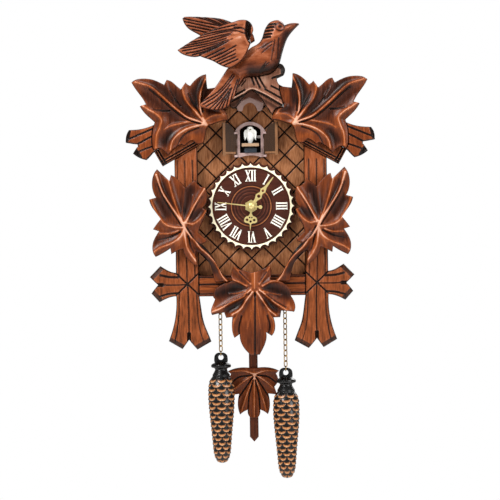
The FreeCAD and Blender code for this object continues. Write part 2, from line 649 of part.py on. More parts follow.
def battery_lid():
    """Lid of the battery hatch, which pulls off backwards, with two finger grooves."""
    lid = block(hatch[0] + seat, hatch[1] - seat, 0.6, back_board - seat, hatch[2] + seat, hatch[3] - seat)
    for z in (tray_z - 3, tray_z + 3):
        lid = lid.cut(block(hatch[1] - 20, hatch[1] - 8, 0, 1.4, z - 0.8, z + 0.8))
    return lid


def speaker():
    """Loudspeaker behind the sound holes."""
    x, z = speaker_at
    frame = rod(19, x, z, back_board, back_board + 3).cut(rod(14, x, z, back_board - 1, back_board + 2))
    basket = Part.makeCone(15, 9, 7, V(x, -(back_board + 3), z), V(0, -1, 0))
    magnet = rod(9, x, z, back_board + 10, back_board + 16)
    return frame.fuse(basket).fuse(magnet)


def mode_switch():
    """Slider knob of the on, off and night switch."""
    x = (switch_slot[0] + switch_slot[1]) / 2
    z = (switch_slot[2] + switch_slot[3]) / 2
    grip = block(x - 2, x + 2, 0.6, back_board + seat, switch_slot[2] + seat, switch_slot[3] - seat)
    flange = block(x - 9, x + 9, back_board + seat, back_board + 2, z - 5, z + 5)
    return grip.fuse(flange)


# ---- doorway and cuckoo -------------------------------------------------------------------------------
hinge_depth = panel_front + surround_thick + 0.4 + door_thick / 2
ear_z = (door_bottom - 3.2, door_spring - 3.4)      # heights of the lower and upper hinge ears


def door_surround():
    """Arched surround with wavy sides, a hollowed sill and four ears for the doors' pins."""
    side = [(15, -23.6, CORNER), (12.9, -27.5), (13.2, -31.5), (14.6, -36), (13.2, -40), (14.2, -44),
            (13.4, -46.6), (13.7, -48.6), (10.4, -50.4, CORNER)]
    sill = [(5, -48.9), (0, -48.4), (-5, -48.9)]
    over = [(-8, -16.8), (0, -14.7), (8, -16.8)]
    body = slab(side + sill + other_half(side) + over, panel_front, panel_front + surround_thick)
    body = body.cut(slab(arch(door_half, door_bottom, door_spring, door_top), panel_front - 1, panel_front + 9))
    for flip in (-1, 1):
        for z in ear_z:
            ear = block(-1.5, 1.5, panel_front, hinge_depth + 1.5, z - 1, z + 1)
            ear.translate(V(flip * hinge_x, 0, 0))
            body = body.fuse(ear)
            body = body.cut(Part.makeCylinder(0.6 + fit, 4, V(flip * hinge_x, -hinge_depth, z - 2)))
    return body


def door(flip):
    """Small arched door, shown standing open; its two wire pins turn in the surround's ears."""
    low, high = ear_z[0] + 1 + seat, ear_z[1] - 1 - seat
    meet = hinge_x - seat
    leaf_shape = [(-0.8, low + 0.6, CORNER), (meet, low + 0.6, CORNER), (meet, door_top + 2.5, CORNER),
                  (meet - 6, door_top + 1.2), (2.2, door_spring - 0.8, CORNER), (2.2, high, CORNER),
                  (-0.8, high, CORNER)]
    panel = slab(leaf_shape, hinge_depth - door_thick / 2, hinge_depth + door_thick / 2)
    pin = Part.makeCylinder(0.6, ear_z[1] - ear_z[0] + 1.6, V(0, -hinge_depth, ear_z[0] - 0.8))
    closed = panel.fuse(pin)
    closed.rotate(V(0, -hinge_depth, 0), V(0, 0, 1), -door_open)
    closed.translate(V(-hinge_x, 0, 0))
    return closed if flip == 1 else mirrored(closed)


chassis_half = 15.5
chassis_back = 18.0
slide_half = 6.0
slide_low, slide_high = door_bottom + seat, -41.5
slide_rear = 50.0
platform_z = -39.5
rack_module = 0.5
motor_teeth = 12
motor_at = (slide_half + rack_module * motor_teeth / 2 + rack_module, 58.0)


def cuckoo_chassis():
    """Tray behind the doorway that guides the slide and carries the motor."""
    base = block(-chassis_half, chassis_half, chassis_back, case_depth, door_bottom - 1.5, door_bottom)
    walls = [block(-chassis_half, -chassis_half + 1.5, chassis_back, case_depth, door_bottom, -36),
             block(chassis_half - 1.5, chassis_half, chassis_back, case_depth, door_bottom, -36),
             block(-chassis_half, chassis_half, chassis_back, chassis_back + 1.5, door_bottom, -36)]
    guide = block(-slide_half - seat - 1.5, -slide_half - seat, chassis_back, case_depth - 2, door_bottom, -43)
    tray = base.multiFuse(walls + [guide])
    hole = Part.makeCylinder(1.0 + fit, 4, V(motor_at[0], -motor_at[1], door_bottom - 3))
    return tray.cut(hole)


def cuckoo_slide():
    """Slide with its rack, and the platform bar that the cuckoo stands on."""
    run = block(-slide_half, slide_half - rack_module, slide_rear, 86, slide_low, slide_high)
    step = math.pi * rack_module
    teeth = []
    count = int((bird_travel + 12) / step)
    for k in range(count):
        mid = motor_at[1] - 6 + (k + 0.5) * step
        teeth.append(block(slide_half - rack_module, slide_half + 0.35, mid - 0.2 * step, mid + 0.2 * step,
                           slide_low, slide_high))
    stalk = block(-2, 2, 79, 84, slide_high, platform_z)
    bar = block(-8.5, 8.5, 77, 93, platform_z, platform_z + 2.8)
    return run.multiFuse(teeth + [stalk, bar])


def motor_pinion():
    """Pinion that drives the slide's rack, on the motor's shaft."""
    x, depth = motor_at
    z0 = slide_low + 0.2
    step = math.pi * rack_module
    near = round(6 / step - 0.5)
    offset = (near + 0.5) * step - 6 + step / 2
    flat = gear(motor_teeth, rack_module, x, 0, 0, slide_high - z0, phase=-90 - math.degrees(offset / 3.0))
    flat.rotate(V(x, 0, 0), V(1, 0, 0), -90)
    low = flat.BoundBox.ZMin
    flat.translate(V(0, -depth, z0 - low))
    shaft = Part.makeCylinder(1.0, slide_high - z0 + 5, V(x, -depth, slide_high - (slide_high - z0) - 5))
    return flat.fuse(shaft)


def cuckoo_motor():
    """Small motor under the chassis, with a blind hole for the pinion's shaft."""
    x, depth = motor_at
    can = Part.makeCylinder(8, 14, V(x, -depth, door_bottom - 1.5 - 14))
    return can.cut(Part.makeCylinder(1.0 + fit, 5, V(x, -depth, door_bottom - 1.5 - 4.5)))


def cuckoo_bird():
    """White cuckoo standing on the platform: body, head, beak, wings and tail."""
    foot = platform_z + 2.8
    body = turned([(0, -19.2), (2.6, -20.2), (3.8, -22.6), (3.4, -25.2), (4.2, -28), (3.2, -32.4), (1.6, foot),
                   (0, foot)], 0, 85)
    beak = Part.makeCone(1.4, 0.2, 4.5, V(0, -88, -23.6), V(0, -1, -0.2))
    tail = block(-1.8, 1.8, 78.5, 84, -35, -33.6)
    wings = []
    for flip in (-1, 1):
        shape = [(3, -22.6, CORNER), (5.6, -23.6), (6.4, -27), (5.4, -33.6, CORNER), (3.2, -29, CORNER)]
        wings.append(slab(placed(shape, 0, 0, flip), 84, 86))
    return body.multiFuse([beak, tail] + wings)


# ---- pendulum -----------------------------------------------------------------------------------------
def pendulum_hanger():
    """Bracket on the floor with the pin that the pendulum hangs on."""
    plate = block(-8, 8, rod_depth + rod_thick + 4, rod_depth + rod_thick + 6, floor_top, pivot_z + 6)
    foot = block(-8, 8, rod_depth + rod_thick + 4, rod_depth + rod_thick + 12, floor_top, floor_top + 2)
    pin = rod(pivot_r, 0, pivot_z, rod_depth - 0.8, rod_depth + rod_thick + 5)
    return plate.fuse(foot).fuse(pin)


def pendulum_stick():
    """Wooden stick with its pivot hole and pointed foot."""
    half = rod_width / 2
    outline = corners([(-half, pivot_z + 6), (half, pivot_z + 6), (half, rod_bottom + 5), (0, rod_bottom),
                       (-half, rod_bottom + 5)])
    stick = slab(outline, rod_depth, rod_depth + rod_thick)
    return stick.cut(rod(pivot_r + fit, 0, pivot_z, rod_depth - 1, rod_depth + rod_thick + 1))


PENDULUM_LEAF = [
    (0, -266, CORNER), (5.4, -265.4), (12.3, -265.2), (19.3, -266.2), (26.2, -268.8, CORNER),
    (23, -271.8, CORNER), (25.3, -277.4), (21.4, -285.2, CORNER), (24, -293.3, CORNER),
    (15, -292.3, CORNER), (16.5, -300.1), (16.2, -307.4), (14.3, -313.6, CORNER), (10.3, -310.5),
    (6.4, -308.8, CORNER), (6, -313.6), (3.6, -317.1, CORNER)]


def pendulum_leaf():
    """Carved leaf glued on the front of the stick."""
    return slab(PENDULUM_LEAF + other_half(PENDULUM_LEAF), rod_depth + rod_thick, rod_depth + rod_thick + 6)


# ---- chains and weights -------------------------------------------------------------------------------
def half_bend(radius, r, x, depth, z, turn):
    """Half ring of wire in the XZ plane, below its centre where turn is 180 and above it where -180."""
    ring = Part.Wire(Part.makeCircle(r, V(x + radius, -depth, z)))
    return Part.Face(ring).revolve(V(x, -depth, z), ALONG_Y, turn)


def link():
    """Oval wire link at the origin, standing in the XZ plane."""
    r = link_wire / 2
    bend = (link_width - link_wire) / 2
    half = (link_pitch - 2 * (bend - r)) / 2
    sides = [Part.makeCylinder(r, 2 * half, V(x, 0, -half)) for x in (-bend, bend)]
    top = half_bend(bend, r, 0, 0, half, -180)
    foot = half_bend(bend, r, 0, 0, -half, 180)
    return top.multiFuse([foot] + sides)


def last_link_z(count):
    """Centre height of a chain's last link."""
    return chain_top - (count - 1) * link_pitch


def ring_z(count):
    """Centre height of the ring that joins the last link to the weight."""
    return last_link_z(count) - link_pitch / 2 + ring_wire / 2 + slack - ring_bend


def chain(x, count):
    """Links hooked through each other, turned 45 degrees one way and the other, and the ring below them."""
    links = []
    for k in range(count):
        oval = link()
        oval.rotate(V(0, 0, 0), V(0, 0, 1), 45 if k % 2 else -45)
        oval.translate(V(x, -chain_depth, chain_top - k * link_pitch))
        links.append(oval)
    links.append(Part.makeTorus(ring_bend, ring_wire / 2, V(x, -chain_depth, ring_z(count)), V(1, 0, 0)))
    return together(links)


def chain_staples():
    """Two wire staples driven into the floor, which the chains hang from."""
    r = staple_wire / 2
    staples = []
    for x in (-chain_x, chain_x):
        bow = half_bend(staple_r, r, x, chain_depth, staple_z, 180)
        legs = [Part.makeCylinder(r, case_bottom + 4 - staple_z, V(x + leg * staple_r, -chain_depth, staple_z))
                for leg in (-1, 1)]
        staples.append(bow.multiFuse(legs))
    return together(staples)


CONE = [(0, -9.4), (5, -9.4), (6.8, -10.5), (9.7, -12), (9.9, -14.6), (7, -15.8), (6.25, -17.6),
        (8.6, -22), (11.8, -27.6), (13.4, -33.6), (13.8, -41), (13.8, -47.4), (13.2, -58), (12, -70.4), (10.6, -85),
        (9.2, -100.6), (7.7, -106.8), (4.8, -111.2), (0, -112.8)]
eye_hole_r, eye_bridge, eye_thick = 2.6, 2.2, 2.8


def weight_top(count):
    """Top of the weight's eye block, which hangs in the ring with its bridge."""
    return ring_z(count) + 0.6


def weight(x, count):
    """Pine-cone weight: turned body under a flat eye block, drawn down from the block's top."""
    top = weight_top(count)
    eye = slab(placed([(-8.2, -10, CORNER), (-8.2, -4), (-5, -0.6), (0, 0), (5, -0.6), (8.2, -4),
                       (8.2, -10, CORNER)], x, top), chain_depth - eye_thick / 2, chain_depth + eye_thick / 2)
    body = turned([(r, top + z) for r, z in CONE], x, chain_depth)
    hole = rod(eye_hole_r, x, top - eye_bridge - eye_hole_r, chain_depth - 9, chain_depth + 9)
    return eye.fuse(body).cut(hole)


# ---- all nodes ----------------------------------------------------------------------------------------
def build():
    """Every node's shape by name."""
    left, right = 1, -1
    centre = leaf(CENTRE_LEAF, (-centre_knot[0], centre_knot[1]), 1)
    corner_leaves = [leaf(CORNER_LEAF, corner_knot, flip) for flip in (left, right)]
    side_leaves = [leaf(SIDE_LEAF, side_knot, flip).cut(centre) for flip in (left, right)]
    bird = top_bird()
    crown = slab(CROWN, frame_front, leaf_front).cut(corner_leaves[0]).cut(corner_leaves[1]).cut(bird)
    twigs = [slab(placed(TWIGS, -flip * corner_knot[0], corner_knot[1], flip), frame_front, leaf_front - 3)
             .cut(carved) for flip, carved in zip((left, right), corner_leaves)]
    return {
        "case_sides": together([side_board(-1), side_board(1)]),
        "case_floor": case_floor(),
        "back_panel": back_panel(),
        "front_panel": front_panel(),
        "roof_boards": together([roof_board(-1), roof_board(1)]),
        "hanger_plate": hanger_plate(),
        "back_panel_screws": back_screws(),
        "eave_boards": together([eave_board(-1), eave_board(1)]),
        "gable_trim": gable_trim(),
        "post_left": post(left),
        "post_right": post(right),
        "cross_rail": cross_rail(),
        "crown_block": crown,
        "top_bird": bird,
        "top_bird_wing_front": slab(WING_FRONT, body_front, body_front + 7),
        "top_bird_wing_back": slab(WING_BACK, body_back - 7, body_back),
        "corner_leaf_left": corner_leaves[0],
        "corner_leaf_right": corner_leaves[1],
        "twigs": together(twigs),
        "side_leaf_left": side_leaves[0],
        "side_leaf_right": side_leaves[1],
        "centre_leaf": centre,
        "dial_disc": dial_disc(),
        "dial_ring": dial_ring(),
        "movement_case": movement_case(),
        "movement_cover": movement_cover(),
        "bush_nut": bush_nut(),
        "stepper_coil": stepper_coil(),
        "circuit_board": circuit_board(),
        "rotor": rotor(),
        "intermediate_wheel": intermediate_wheel(),
        "seconds_wheel": seconds_wheel(),
        "third_wheel": third_wheel(),
        "minute_wheel": minute_wheel(),
        "setting_knob": setting_knob(),
        "hour_wheel": hour_wheel(),
        "hour_hand": hour_hand(),
        "minute_hand": minute_hand(),
        "second_hand": second_hand(),
        "battery_tray": battery_tray(),
        "batteries": batteries(),
        "battery_lid": battery_lid(),
        "speaker": speaker(),
        "mode_switch": mode_switch(),
        "door_surround": door_surround(),
        "door_left": door(left),
        "door_right": door(right),
        "cuckoo_chassis": cuckoo_chassis(),
        "cuckoo_slide": cuckoo_slide(),
        "cuckoo_motor": cuckoo_motor(),
        "motor_pinion": motor_pinion(),
        "cuckoo_bird": cuckoo_bird(),
        "pendulum_hanger": pendulum_hanger(),
        "pendulum_stick": pendulum_stick(),
        "pendulum_leaf": pendulum_leaf(),
        "chain_staples": chain_staples(),
        "chain_left": chain(-chain_x, links_left),
        "chain_right": chain(chain_x, links_right),
        "weight_left": weight(-chain_x, links_left),
        "weight_right": weight(chain_x, links_right),
    }


os.makedirs("parts", exist_ok=True)
for name, shape in build().items():
    shape.exportStep("parts/" + name + ".step")
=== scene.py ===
import math

import bpy
import numpy as np
from mathutils.geometry import delaunay_2d_cdt
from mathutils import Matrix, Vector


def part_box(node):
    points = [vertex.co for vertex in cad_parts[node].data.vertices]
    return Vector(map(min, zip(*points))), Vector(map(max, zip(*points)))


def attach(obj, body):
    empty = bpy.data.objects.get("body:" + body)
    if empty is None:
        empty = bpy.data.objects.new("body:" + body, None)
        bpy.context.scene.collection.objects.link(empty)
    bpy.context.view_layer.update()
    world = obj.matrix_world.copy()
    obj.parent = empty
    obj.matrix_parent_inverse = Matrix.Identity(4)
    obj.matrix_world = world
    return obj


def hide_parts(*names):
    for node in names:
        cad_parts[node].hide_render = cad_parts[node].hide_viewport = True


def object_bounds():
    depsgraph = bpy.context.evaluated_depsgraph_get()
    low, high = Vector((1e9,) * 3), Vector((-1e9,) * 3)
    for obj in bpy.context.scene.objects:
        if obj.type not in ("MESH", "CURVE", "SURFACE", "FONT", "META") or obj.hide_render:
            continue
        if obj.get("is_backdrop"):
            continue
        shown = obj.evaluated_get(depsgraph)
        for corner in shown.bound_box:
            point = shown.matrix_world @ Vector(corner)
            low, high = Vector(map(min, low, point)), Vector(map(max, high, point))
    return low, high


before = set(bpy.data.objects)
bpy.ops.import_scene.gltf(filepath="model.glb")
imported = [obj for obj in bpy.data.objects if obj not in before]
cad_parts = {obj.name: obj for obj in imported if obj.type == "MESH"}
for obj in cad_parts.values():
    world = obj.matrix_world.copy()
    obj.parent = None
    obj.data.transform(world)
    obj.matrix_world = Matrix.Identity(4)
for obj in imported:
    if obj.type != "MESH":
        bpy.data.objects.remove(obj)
cad_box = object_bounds()

# ---- Stage -------------------------------------------------------------------------------------------
# A pale studio: the clock hangs in front of white light, over a plain floor, lit by three soft boxes
# in front and one behind. The camera is far off, level with the middle of the clock, and leans a little.
aim = (-0.0018, -0.100, -0.144)
away = 1.80
lean = 0.014
lit_at = (0, -0.09, -0.13)
floor_z, floor_wide, floor_near, floor_far = -0.43, 1.5, -1.6, 0.12

camera = bpy.data.objects.new("camera", bpy.data.cameras.new("camera"))
camera.data.sensor_width = 36
camera.data.lens = 36 * away / 0.5
camera.location = (aim[0], aim[1] - away, aim[2])
camera.rotation_euler = (math.pi / 2, lean, 0)
bpy.context.scene.collection.objects.link(camera)
bpy.context.scene.camera = camera
bpy.context.scene.view_settings.view_transform = "Standard"

for title, place, size, watts in (("box_left", (-0.80, -0.95, 0.85), 0.55, 27),
                                  ("box_right", (1.15, -1.05, 0.35), 0.7, 13),
                                  ("box_top", (0.10, -0.35, 1.05), 0.6, 10),
                                  ("box_behind", (0.70, 1.30, 0.60), 0.9, 12)):
    lamp = bpy.data.lights.new(title, "AREA")
    lamp.size, lamp.energy = size, watts
    box = bpy.data.objects.new(title, lamp)
    back = np.array(place) - lit_at
    box.location = place
    box.rotation_euler = (math.acos(back[2] / np.linalg.norm(back)), 0,
                          math.atan2(back[1], back[0]) + math.pi / 2)
    bpy.context.scene.collection.objects.link(box)

world = bpy.data.worlds.new("studio")
world.use_nodes = True
bpy.context.scene.world = world
sky = world.node_tree
seen = sky.nodes.new("ShaderNodeBackground")
seen.inputs["Color"].default_value = (1, 1, 1, 1)
soft = sky.nodes["Background"]
soft.inputs["Color"].default_value = (1, 0.98, 0.96, 1)
soft.inputs["Strength"].default_value = 0.26
either = sky.nodes.new("ShaderNodeMixShader")
ray = sky.nodes.new("ShaderNodeLightPath")
sky.links.new(ray.outputs["Is Camera Ray"], either.inputs[0])
sky.links.new(soft.outputs[0], either.inputs[1])
sky.links.new(seen.outputs[0], either.inputs[2])
sky.links.new(either.outputs[0], sky.nodes["World Output"].inputs["Surface"])

floor_mesh = bpy.data.meshes.new("floor")
floor_mesh.from_pydata([(-floor_wide, floor_near, floor_z), (floor_wide, floor_near, floor_z),
                        (floor_wide, floor_far, floor_z), (-floor_wide, floor_far, floor_z)], [],
                       [(0, 1, 2, 3)])
floor = bpy.data.objects.new("floor", floor_mesh)
bpy.context.scene.collection.objects.link(floor)
paper = bpy.data.materials.new("studio_paper")
paper.use_nodes = True
paper_shader = paper.node_tree.nodes["Principled BSDF"]
paper_shader.inputs["Base Color"].default_value = (0.86, 0.85, 0.84, 1)
paper_shader.inputs["Roughness"].default_value = 0.9
floor.data.materials.append(paper)
floor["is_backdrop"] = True


# ---- Case --------------------------------------------------------------------------------------------
# Limewood box: sides, floor, back and roof boards, stained reddish brown and lacquered satin.
# The boards stay as the frame has them; their finish is worked out here and used again further on.
class Tone:
    """One socket of a material. Sums, differences and products with tones add Math nodes."""

    def __init__(self, tree, socket=None):
        self.tree, self.socket = tree, socket

    def node(self, kind, values=(), out=0, stops=(), **settings):
        """Any other node: its settings, then its ramp's stops, then the values or links of its sockets."""
        made = self.tree.nodes.new(kind)
        for key, value in settings.items():
            setattr(made, key, value)
        for i, (at, colour) in enumerate(stops):
            stop = made.color_ramp.elements[i] if i < 2 else made.color_ramp.elements.new(at)
            stop.position, stop.color = at, (*colour, 1)
        for key, value in dict(values).items():
            if isinstance(value, Tone):
                self.tree.links.new(value.socket, made.inputs[key])
            else:
                made.inputs[key].default_value = value
        return Tone(self.tree, made.outputs[out])

    def maths(self, operation, first, second):
        return self.node("ShaderNodeMath", {0: first, 1: second}, operation=operation)

    def __add__(self, other):
        return self.maths("ADD", self, other)

    def __sub__(self, other):
        return self.maths("SUBTRACT", self, other)

    def __mul__(self, other):
        return self.maths("MULTIPLY", self, other)


def finish(title, colour, roughness, bump=None, depth=0.0002, **fixed):
    """Material whose colour, roughness and bump come from functions of its Tone; fixed sockets by name."""
    material = bpy.data.materials.new(title)
    material.use_nodes = True
    shader = material.node_tree.nodes["Principled BSDF"]
    pen = Tone(material.node_tree)
    for socket, make in (("Base Color", colour), ("Roughness", roughness)):
        value = make(pen) if callable(make) else make
        if isinstance(value, Tone):
            material.node_tree.links.new(value.socket, shader.inputs[socket])
        else:
            shader.inputs[socket].default_value = value
    if bump:
        height = pen.node("ShaderNodeBump", {"Height": bump(pen), "Distance": depth, "Strength": 1.0})
        material.node_tree.links.new(height.socket, shader.inputs["Normal"])
    for socket, value in fixed.items():
        shader.inputs[socket.replace("_", " ")].default_value = value
    return material


def noise(pen, size, detail=3.0, turn=(0, 0, 0)):
    """Noise in object space whose features have the given sizes in mm along x, y and z."""
    place = pen.node("ShaderNodeTexCoord", out="Object")
    spread = pen.node("ShaderNodeMapping", {"Vector": place, "Rotation": turn,
                                            "Scale": tuple(1000 / s for s in size)})
    return pen.node("ShaderNodeTexNoise", {"Vector": spread, "Scale": 1.0, "Detail": detail})


# Stain from the deepest recess, over the plain surface, to a rubbed ridge; the dark end also serves the
# painted shade in hollows and grooves, and the pale pinkish end the painted sheen on ridges
STAIN = ((0.00, (0.006, 0.002, 0.001)), (0.28, (0.042, 0.009, 0.003)), (0.50, (0.138, 0.030, 0.007)),
         (0.74, (0.330, 0.082, 0.018)), (1.00, (0.620, 0.330, 0.220)))


def stained(title, along=(1.2, 1.2, 14), turn=(0, 0, 0), stain=STAIN, base=0.0, streak=0.5, gloss=0.30,
            pale_behind=None):
    """Stained wood. Its tone is the piece's own 'tone' attribute, which holds painted shade in hollows and
    grooves and painted sheen on ridges along with stain and wear, plus broad blotches, streaks along the
    grain and fine pores; the tone picks the stain's colour, and the pores and streaks raise the bump.
    Wood nearer the wall than pale_behind, in metres, is rubbed paler."""
    pores = tuple(s / 2.6 for s in along)
    figure = tuple(s * 3.5 for s in along)

    def colour(pen):
        tone = pen.node("ShaderNodeAttribute", out="Fac", attribute_name="tone") * 0.5 + (0.5 + base)
        tone = tone + (noise(pen, (19, 19, 27)) - 0.5) * 0.22
        tone = tone + (noise(pen, figure, turn=turn) - 0.5) * (0.45 * streak)
        tone = tone + (noise(pen, along, 5, turn) - 0.5) * (0.7 * streak)
        if pale_behind:
            place = pen.node("ShaderNodeTexCoord", out="Object")
            depth = pen.node("ShaderNodeSeparateXYZ", {"Vector": place}, out="Y")
            tone = tone + depth.maths("GREATER_THAN", depth, -pale_behind) * 0.42
        return pen.node("ShaderNodeValToRGB", {"Fac": tone}, stops=stain)

    def roughness(pen):
        return noise(pen, along, 4, turn) * 0.30 + (gloss - 0.06)

    def bump(pen):
        return noise(pen, pores, 4, turn) * 0.5 + noise(pen, along, 3, turn) * 0.5

    return finish(title, colour, roughness, bump, depth=0.00022, Coat_Weight=0.04, Coat_Roughness=0.2,
                  Specular_IOR_Level=0.16)


def dress(material, *nodes):
    """Gives pieces that stay as the frame has them a finish."""
    for node in nodes:
        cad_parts[node].data.materials.clear()
        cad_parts[node].data.materials.append(material)


dress(stained("case_wood", along=(1.4, 1.4, 20), base=-0.04), "case_sides", "back_panel")
dress(stained("eave_wood", along=(14, 1.4, 1.4), base=-0.10), "case_floor", "roof_boards", "eave_boards")


# ---- Front panel -------------------------------------------------------------------------------------
# Limewood board with V-grooves cut at 45 degrees into a lattice of lozenges, open at the cuckoo's door.
# It is the first of the carved pieces: each is sawn to its outline, then carved on the front only.
def outlines(node, deep=0.0002):
    """Outlines in mm, as (x, z) rows, of the flat front of a board in the frame: the edges that only one
    of its front triangles uses, joined end to end."""
    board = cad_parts[node].data
    spots = np.empty((len(board.vertices), 3))
    board.vertices.foreach_get("co", spots.ravel())
    board.calc_loop_triangles()
    faces = np.empty((len(board.loop_triangles), 3), int)
    board.loop_triangles.foreach_get("vertices", faces.ravel())
    spots, same = np.unique(np.round(spots, 6), axis=0, return_inverse=True)
    faces = same.ravel()[faces]
    faces = faces[(spots[faces, 1] < spots[:, 1].min() + deep).all(1)]
    edges = np.concatenate([faces[:, [0, 1]], faces[:, [1, 2]], faces[:, [2, 0]]])
    both = np.isin(edges @ [len(spots), 1], edges @ [1, len(spots)])
    follow, found = dict(edges[~both].tolist()), []
    while follow:
        start, spot = follow.popitem()
        loop = [start]
        while spot != start:
            loop.append(spot)
            spot = follow.pop(spot)
        found.append(spots[loop][:, [0, 2]] * 1000)
    return found


def divided(loop, pitch):
    """The outline with its long sides divided evenly, no part longer than the pitch."""
    ends = np.roll(loop, -1, 0)
    parts = np.ceil(np.linalg.norm(ends - loop, axis=1) / pitch).astype(int)
    share = np.concatenate([np.arange(n) / n for n in parts])[:, None]
    return np.repeat(loop, parts, 0) * (1 - share) + np.repeat(ends, parts, 0) * share


def nearest(spots, starts, ends):
    """For each spot, its distance to the nearest of the segments, positive to the left of it, and the
    place along the run of segments where that is, from 0 to 1."""
    along = ends - starts
    long2 = (along ** 2).sum(1)
    gaps, shares, sides = [], [], []
    for part in np.array_split(spots, len(spots) // 3000 + 1):
        off = part[:, None] - starts
        share = np.clip((off * along).sum(2) / long2, 0, 1)
        gap = np.linalg.norm(off - share[..., None] * along, axis=2)
        best = gap.argmin(1)
        row = np.arange(len(part))
        gaps.append(gap[row, best])
        shares.append((best + share[row, best]) / len(starts))
        cross = along[best, 0] * off[row, best, 1] - along[best, 1] * off[row, best, 0]
        sides.append(np.where(cross < 0, -1, 1))
    return np.concatenate(gaps), np.concatenate(shares), np.concatenate(sides)


def eased(points, parts=7):
    """Smooth line through the points: a Catmull-Rom curve, each span cut in parts."""
    p = np.array(points, float)
    p = np.concatenate([[2 * p[0] - p[1]], p, [2 * p[-1] - p[-2]]])
    t = (np.arange(parts) / parts)[:, None]
    a, b, c, d = p[:-3, None], p[1:-2, None], p[2:-1, None], p[3:, None]
    spans = 0.5 * (2 * b + (c - a) * t + (2 * a - 5 * b + 4 * c - d) * t ** 2 +
                   (3 * b - a - 3 * c + d) * t ** 3)
    return np.concatenate([spans.reshape(-1, 2), p[-2:-1]])


def carve(spots, strokes, shades):
    """Height and tone that the strokes give each spot. A stroke is (height, left width, right width, tone,
    share left at its end, points). A raised one falls away as exp(-gap / width), and the highest rules; its
    tone is a pale line along its crest, rubbed wear and painted sheen. A cut one is a V of that depth, and
    the deepest rules; a dark tone there is stain gathered in the groove and painted shade. A shade is tone
    alone, painted shade in hollows and painted light on raised parts, besides a few real marks such as the
    bird's eye: (tone, reach, points), and it falls away as exp(-(gap / reach) ** 2)."""
    crest, cut, tone = np.zeros(len(spots)), np.zeros(len(spots)), np.zeros(len(spots))
    for height, left, right, shade, last, points in strokes:
        line = eased(points)
        gap, share, side = nearest(spots, line[:-1], line[1:])
        width = np.where(side > 0, left, right)
        fade = 1 - (1 - last) * share
        if height > 0:
            crest = (crest ** 5 + (height * fade * np.exp(-gap / width)) ** 5) ** 0.2
            # A raised stroke's tone: a narrow pale line on its crest and a broader faint glow, fading towards
            # its end, rubbed wear and painted sheen
            rubbed_and_sheen = 0.62 * np.exp(-(gap / (0.17 * width + 0.4)) ** 2) + 0.22 * np.exp(-(gap / width) ** 2)
            tone += shade * fade * (1 - 0.4 * share) * rubbed_and_sheen
        else:
            # A cut's negative tone darkens its groove: stain gathered there, and painted shade
            near = np.clip(1 - gap / width, 0, 1)
            cut = np.minimum(cut, height * fade * near)
            tone += shade * fade * np.clip(4 * near, 0, 1) ** 0.5
    # Shades: broad painted shade in hollows and painted light on raised parts, and a few real marks such as
    # the bird's eye
    for shade, reach, points in shades:
        line = eased(points)
        tone += shade * np.exp(-(nearest(spots, line[:-1], line[1:])[0] / reach) ** 2)
    return crest + cut, tone


def within(spots, starts, ends):
    """Whether each spot is inside the outlines: a line to its right crosses them an odd number of times."""
    found = []
    for part in np.array_split(spots, len(spots) // 3000 + 1):
        x, z = part[:, :1], part[:, 1:]
        over = (starts[:, 1] > z) != (ends[:, 1] > z)
        rise = np.where(over, ends[:, 1] - starts[:, 1], 1)
        meet = starts[:, 0] + (z - starts[:, 1]) / rise * (ends[:, 0] - starts[:, 0])
        found.append((over & (meet > x)).sum(1) % 2 == 1)
    return np.concatenate(found)


def piece(title, spots, faces, material, body, tone=None, replaced=(), smooth=True):
    """A finished mesh, its points given in mm, riding on a body of the frame."""
    mesh = bpy.data.meshes.new(title)
    mesh.from_pydata(np.asarray(spots) / 1000, [], faces)
    if smooth:
        mesh.shade_smooth()
    if tone is not None:
        mesh.attributes.new("tone", "FLOAT", "POINT").data.foreach_set("value", np.asarray(tone, np.float32))
    mesh.materials.append(material)
    made = bpy.data.objects.new(title, mesh)
    bpy.context.scene.collection.objects.link(made)
    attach(made, body)
    if replaced:
        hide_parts(*replaced)
    return made


def net(spots, sides, starts, ends):
    """Triangles between spots and inside the outlines, counter-clockwise, and where each spot went."""
    made, _, faces, origin, _, _ = delaunay_2d_cdt(spots.tolist(), sides.tolist(), [], 0, 1e-5)
    made, faces = np.array(made), np.array(faces)
    faces = faces[within(made[faces].mean(1), starts, ends)]
    one, two = made[faces[:, 1]] - made[faces[:, 0]], made[faces[:, 2]] - made[faces[:, 0]]
    wrong = one[:, 0] * two[:, 1] < one[:, 1] * two[:, 0]
    faces[wrong] = faces[wrong][:, ::-1]
    went = np.empty(len(spots), int)
    went[np.concatenate(origin).astype(int)] = np.repeat(np.arange(len(made)), [len(o) for o in origin])
    return made, faces, went


def seeds(strokes, pitch):
    """Grid points along each stroke: on its line, and for a cut also on both edges of the V."""
    found = []
    for height, left, right, _, _, points in strokes:
        line = eased(points, 60)
        along = np.gradient(line, axis=0)
        across = np.stack([-along[:, 1], along[:, 0]], 1) / np.linalg.norm(along, axis=1)[:, None]
        found += [line] if height > 0 else [line, line + left * across, line - right * across]
    found = np.concatenate(found)
    _, first = np.unique(np.round(found / (0.6 * pitch)), axis=0, return_index=True)
    return found[np.sort(first)]


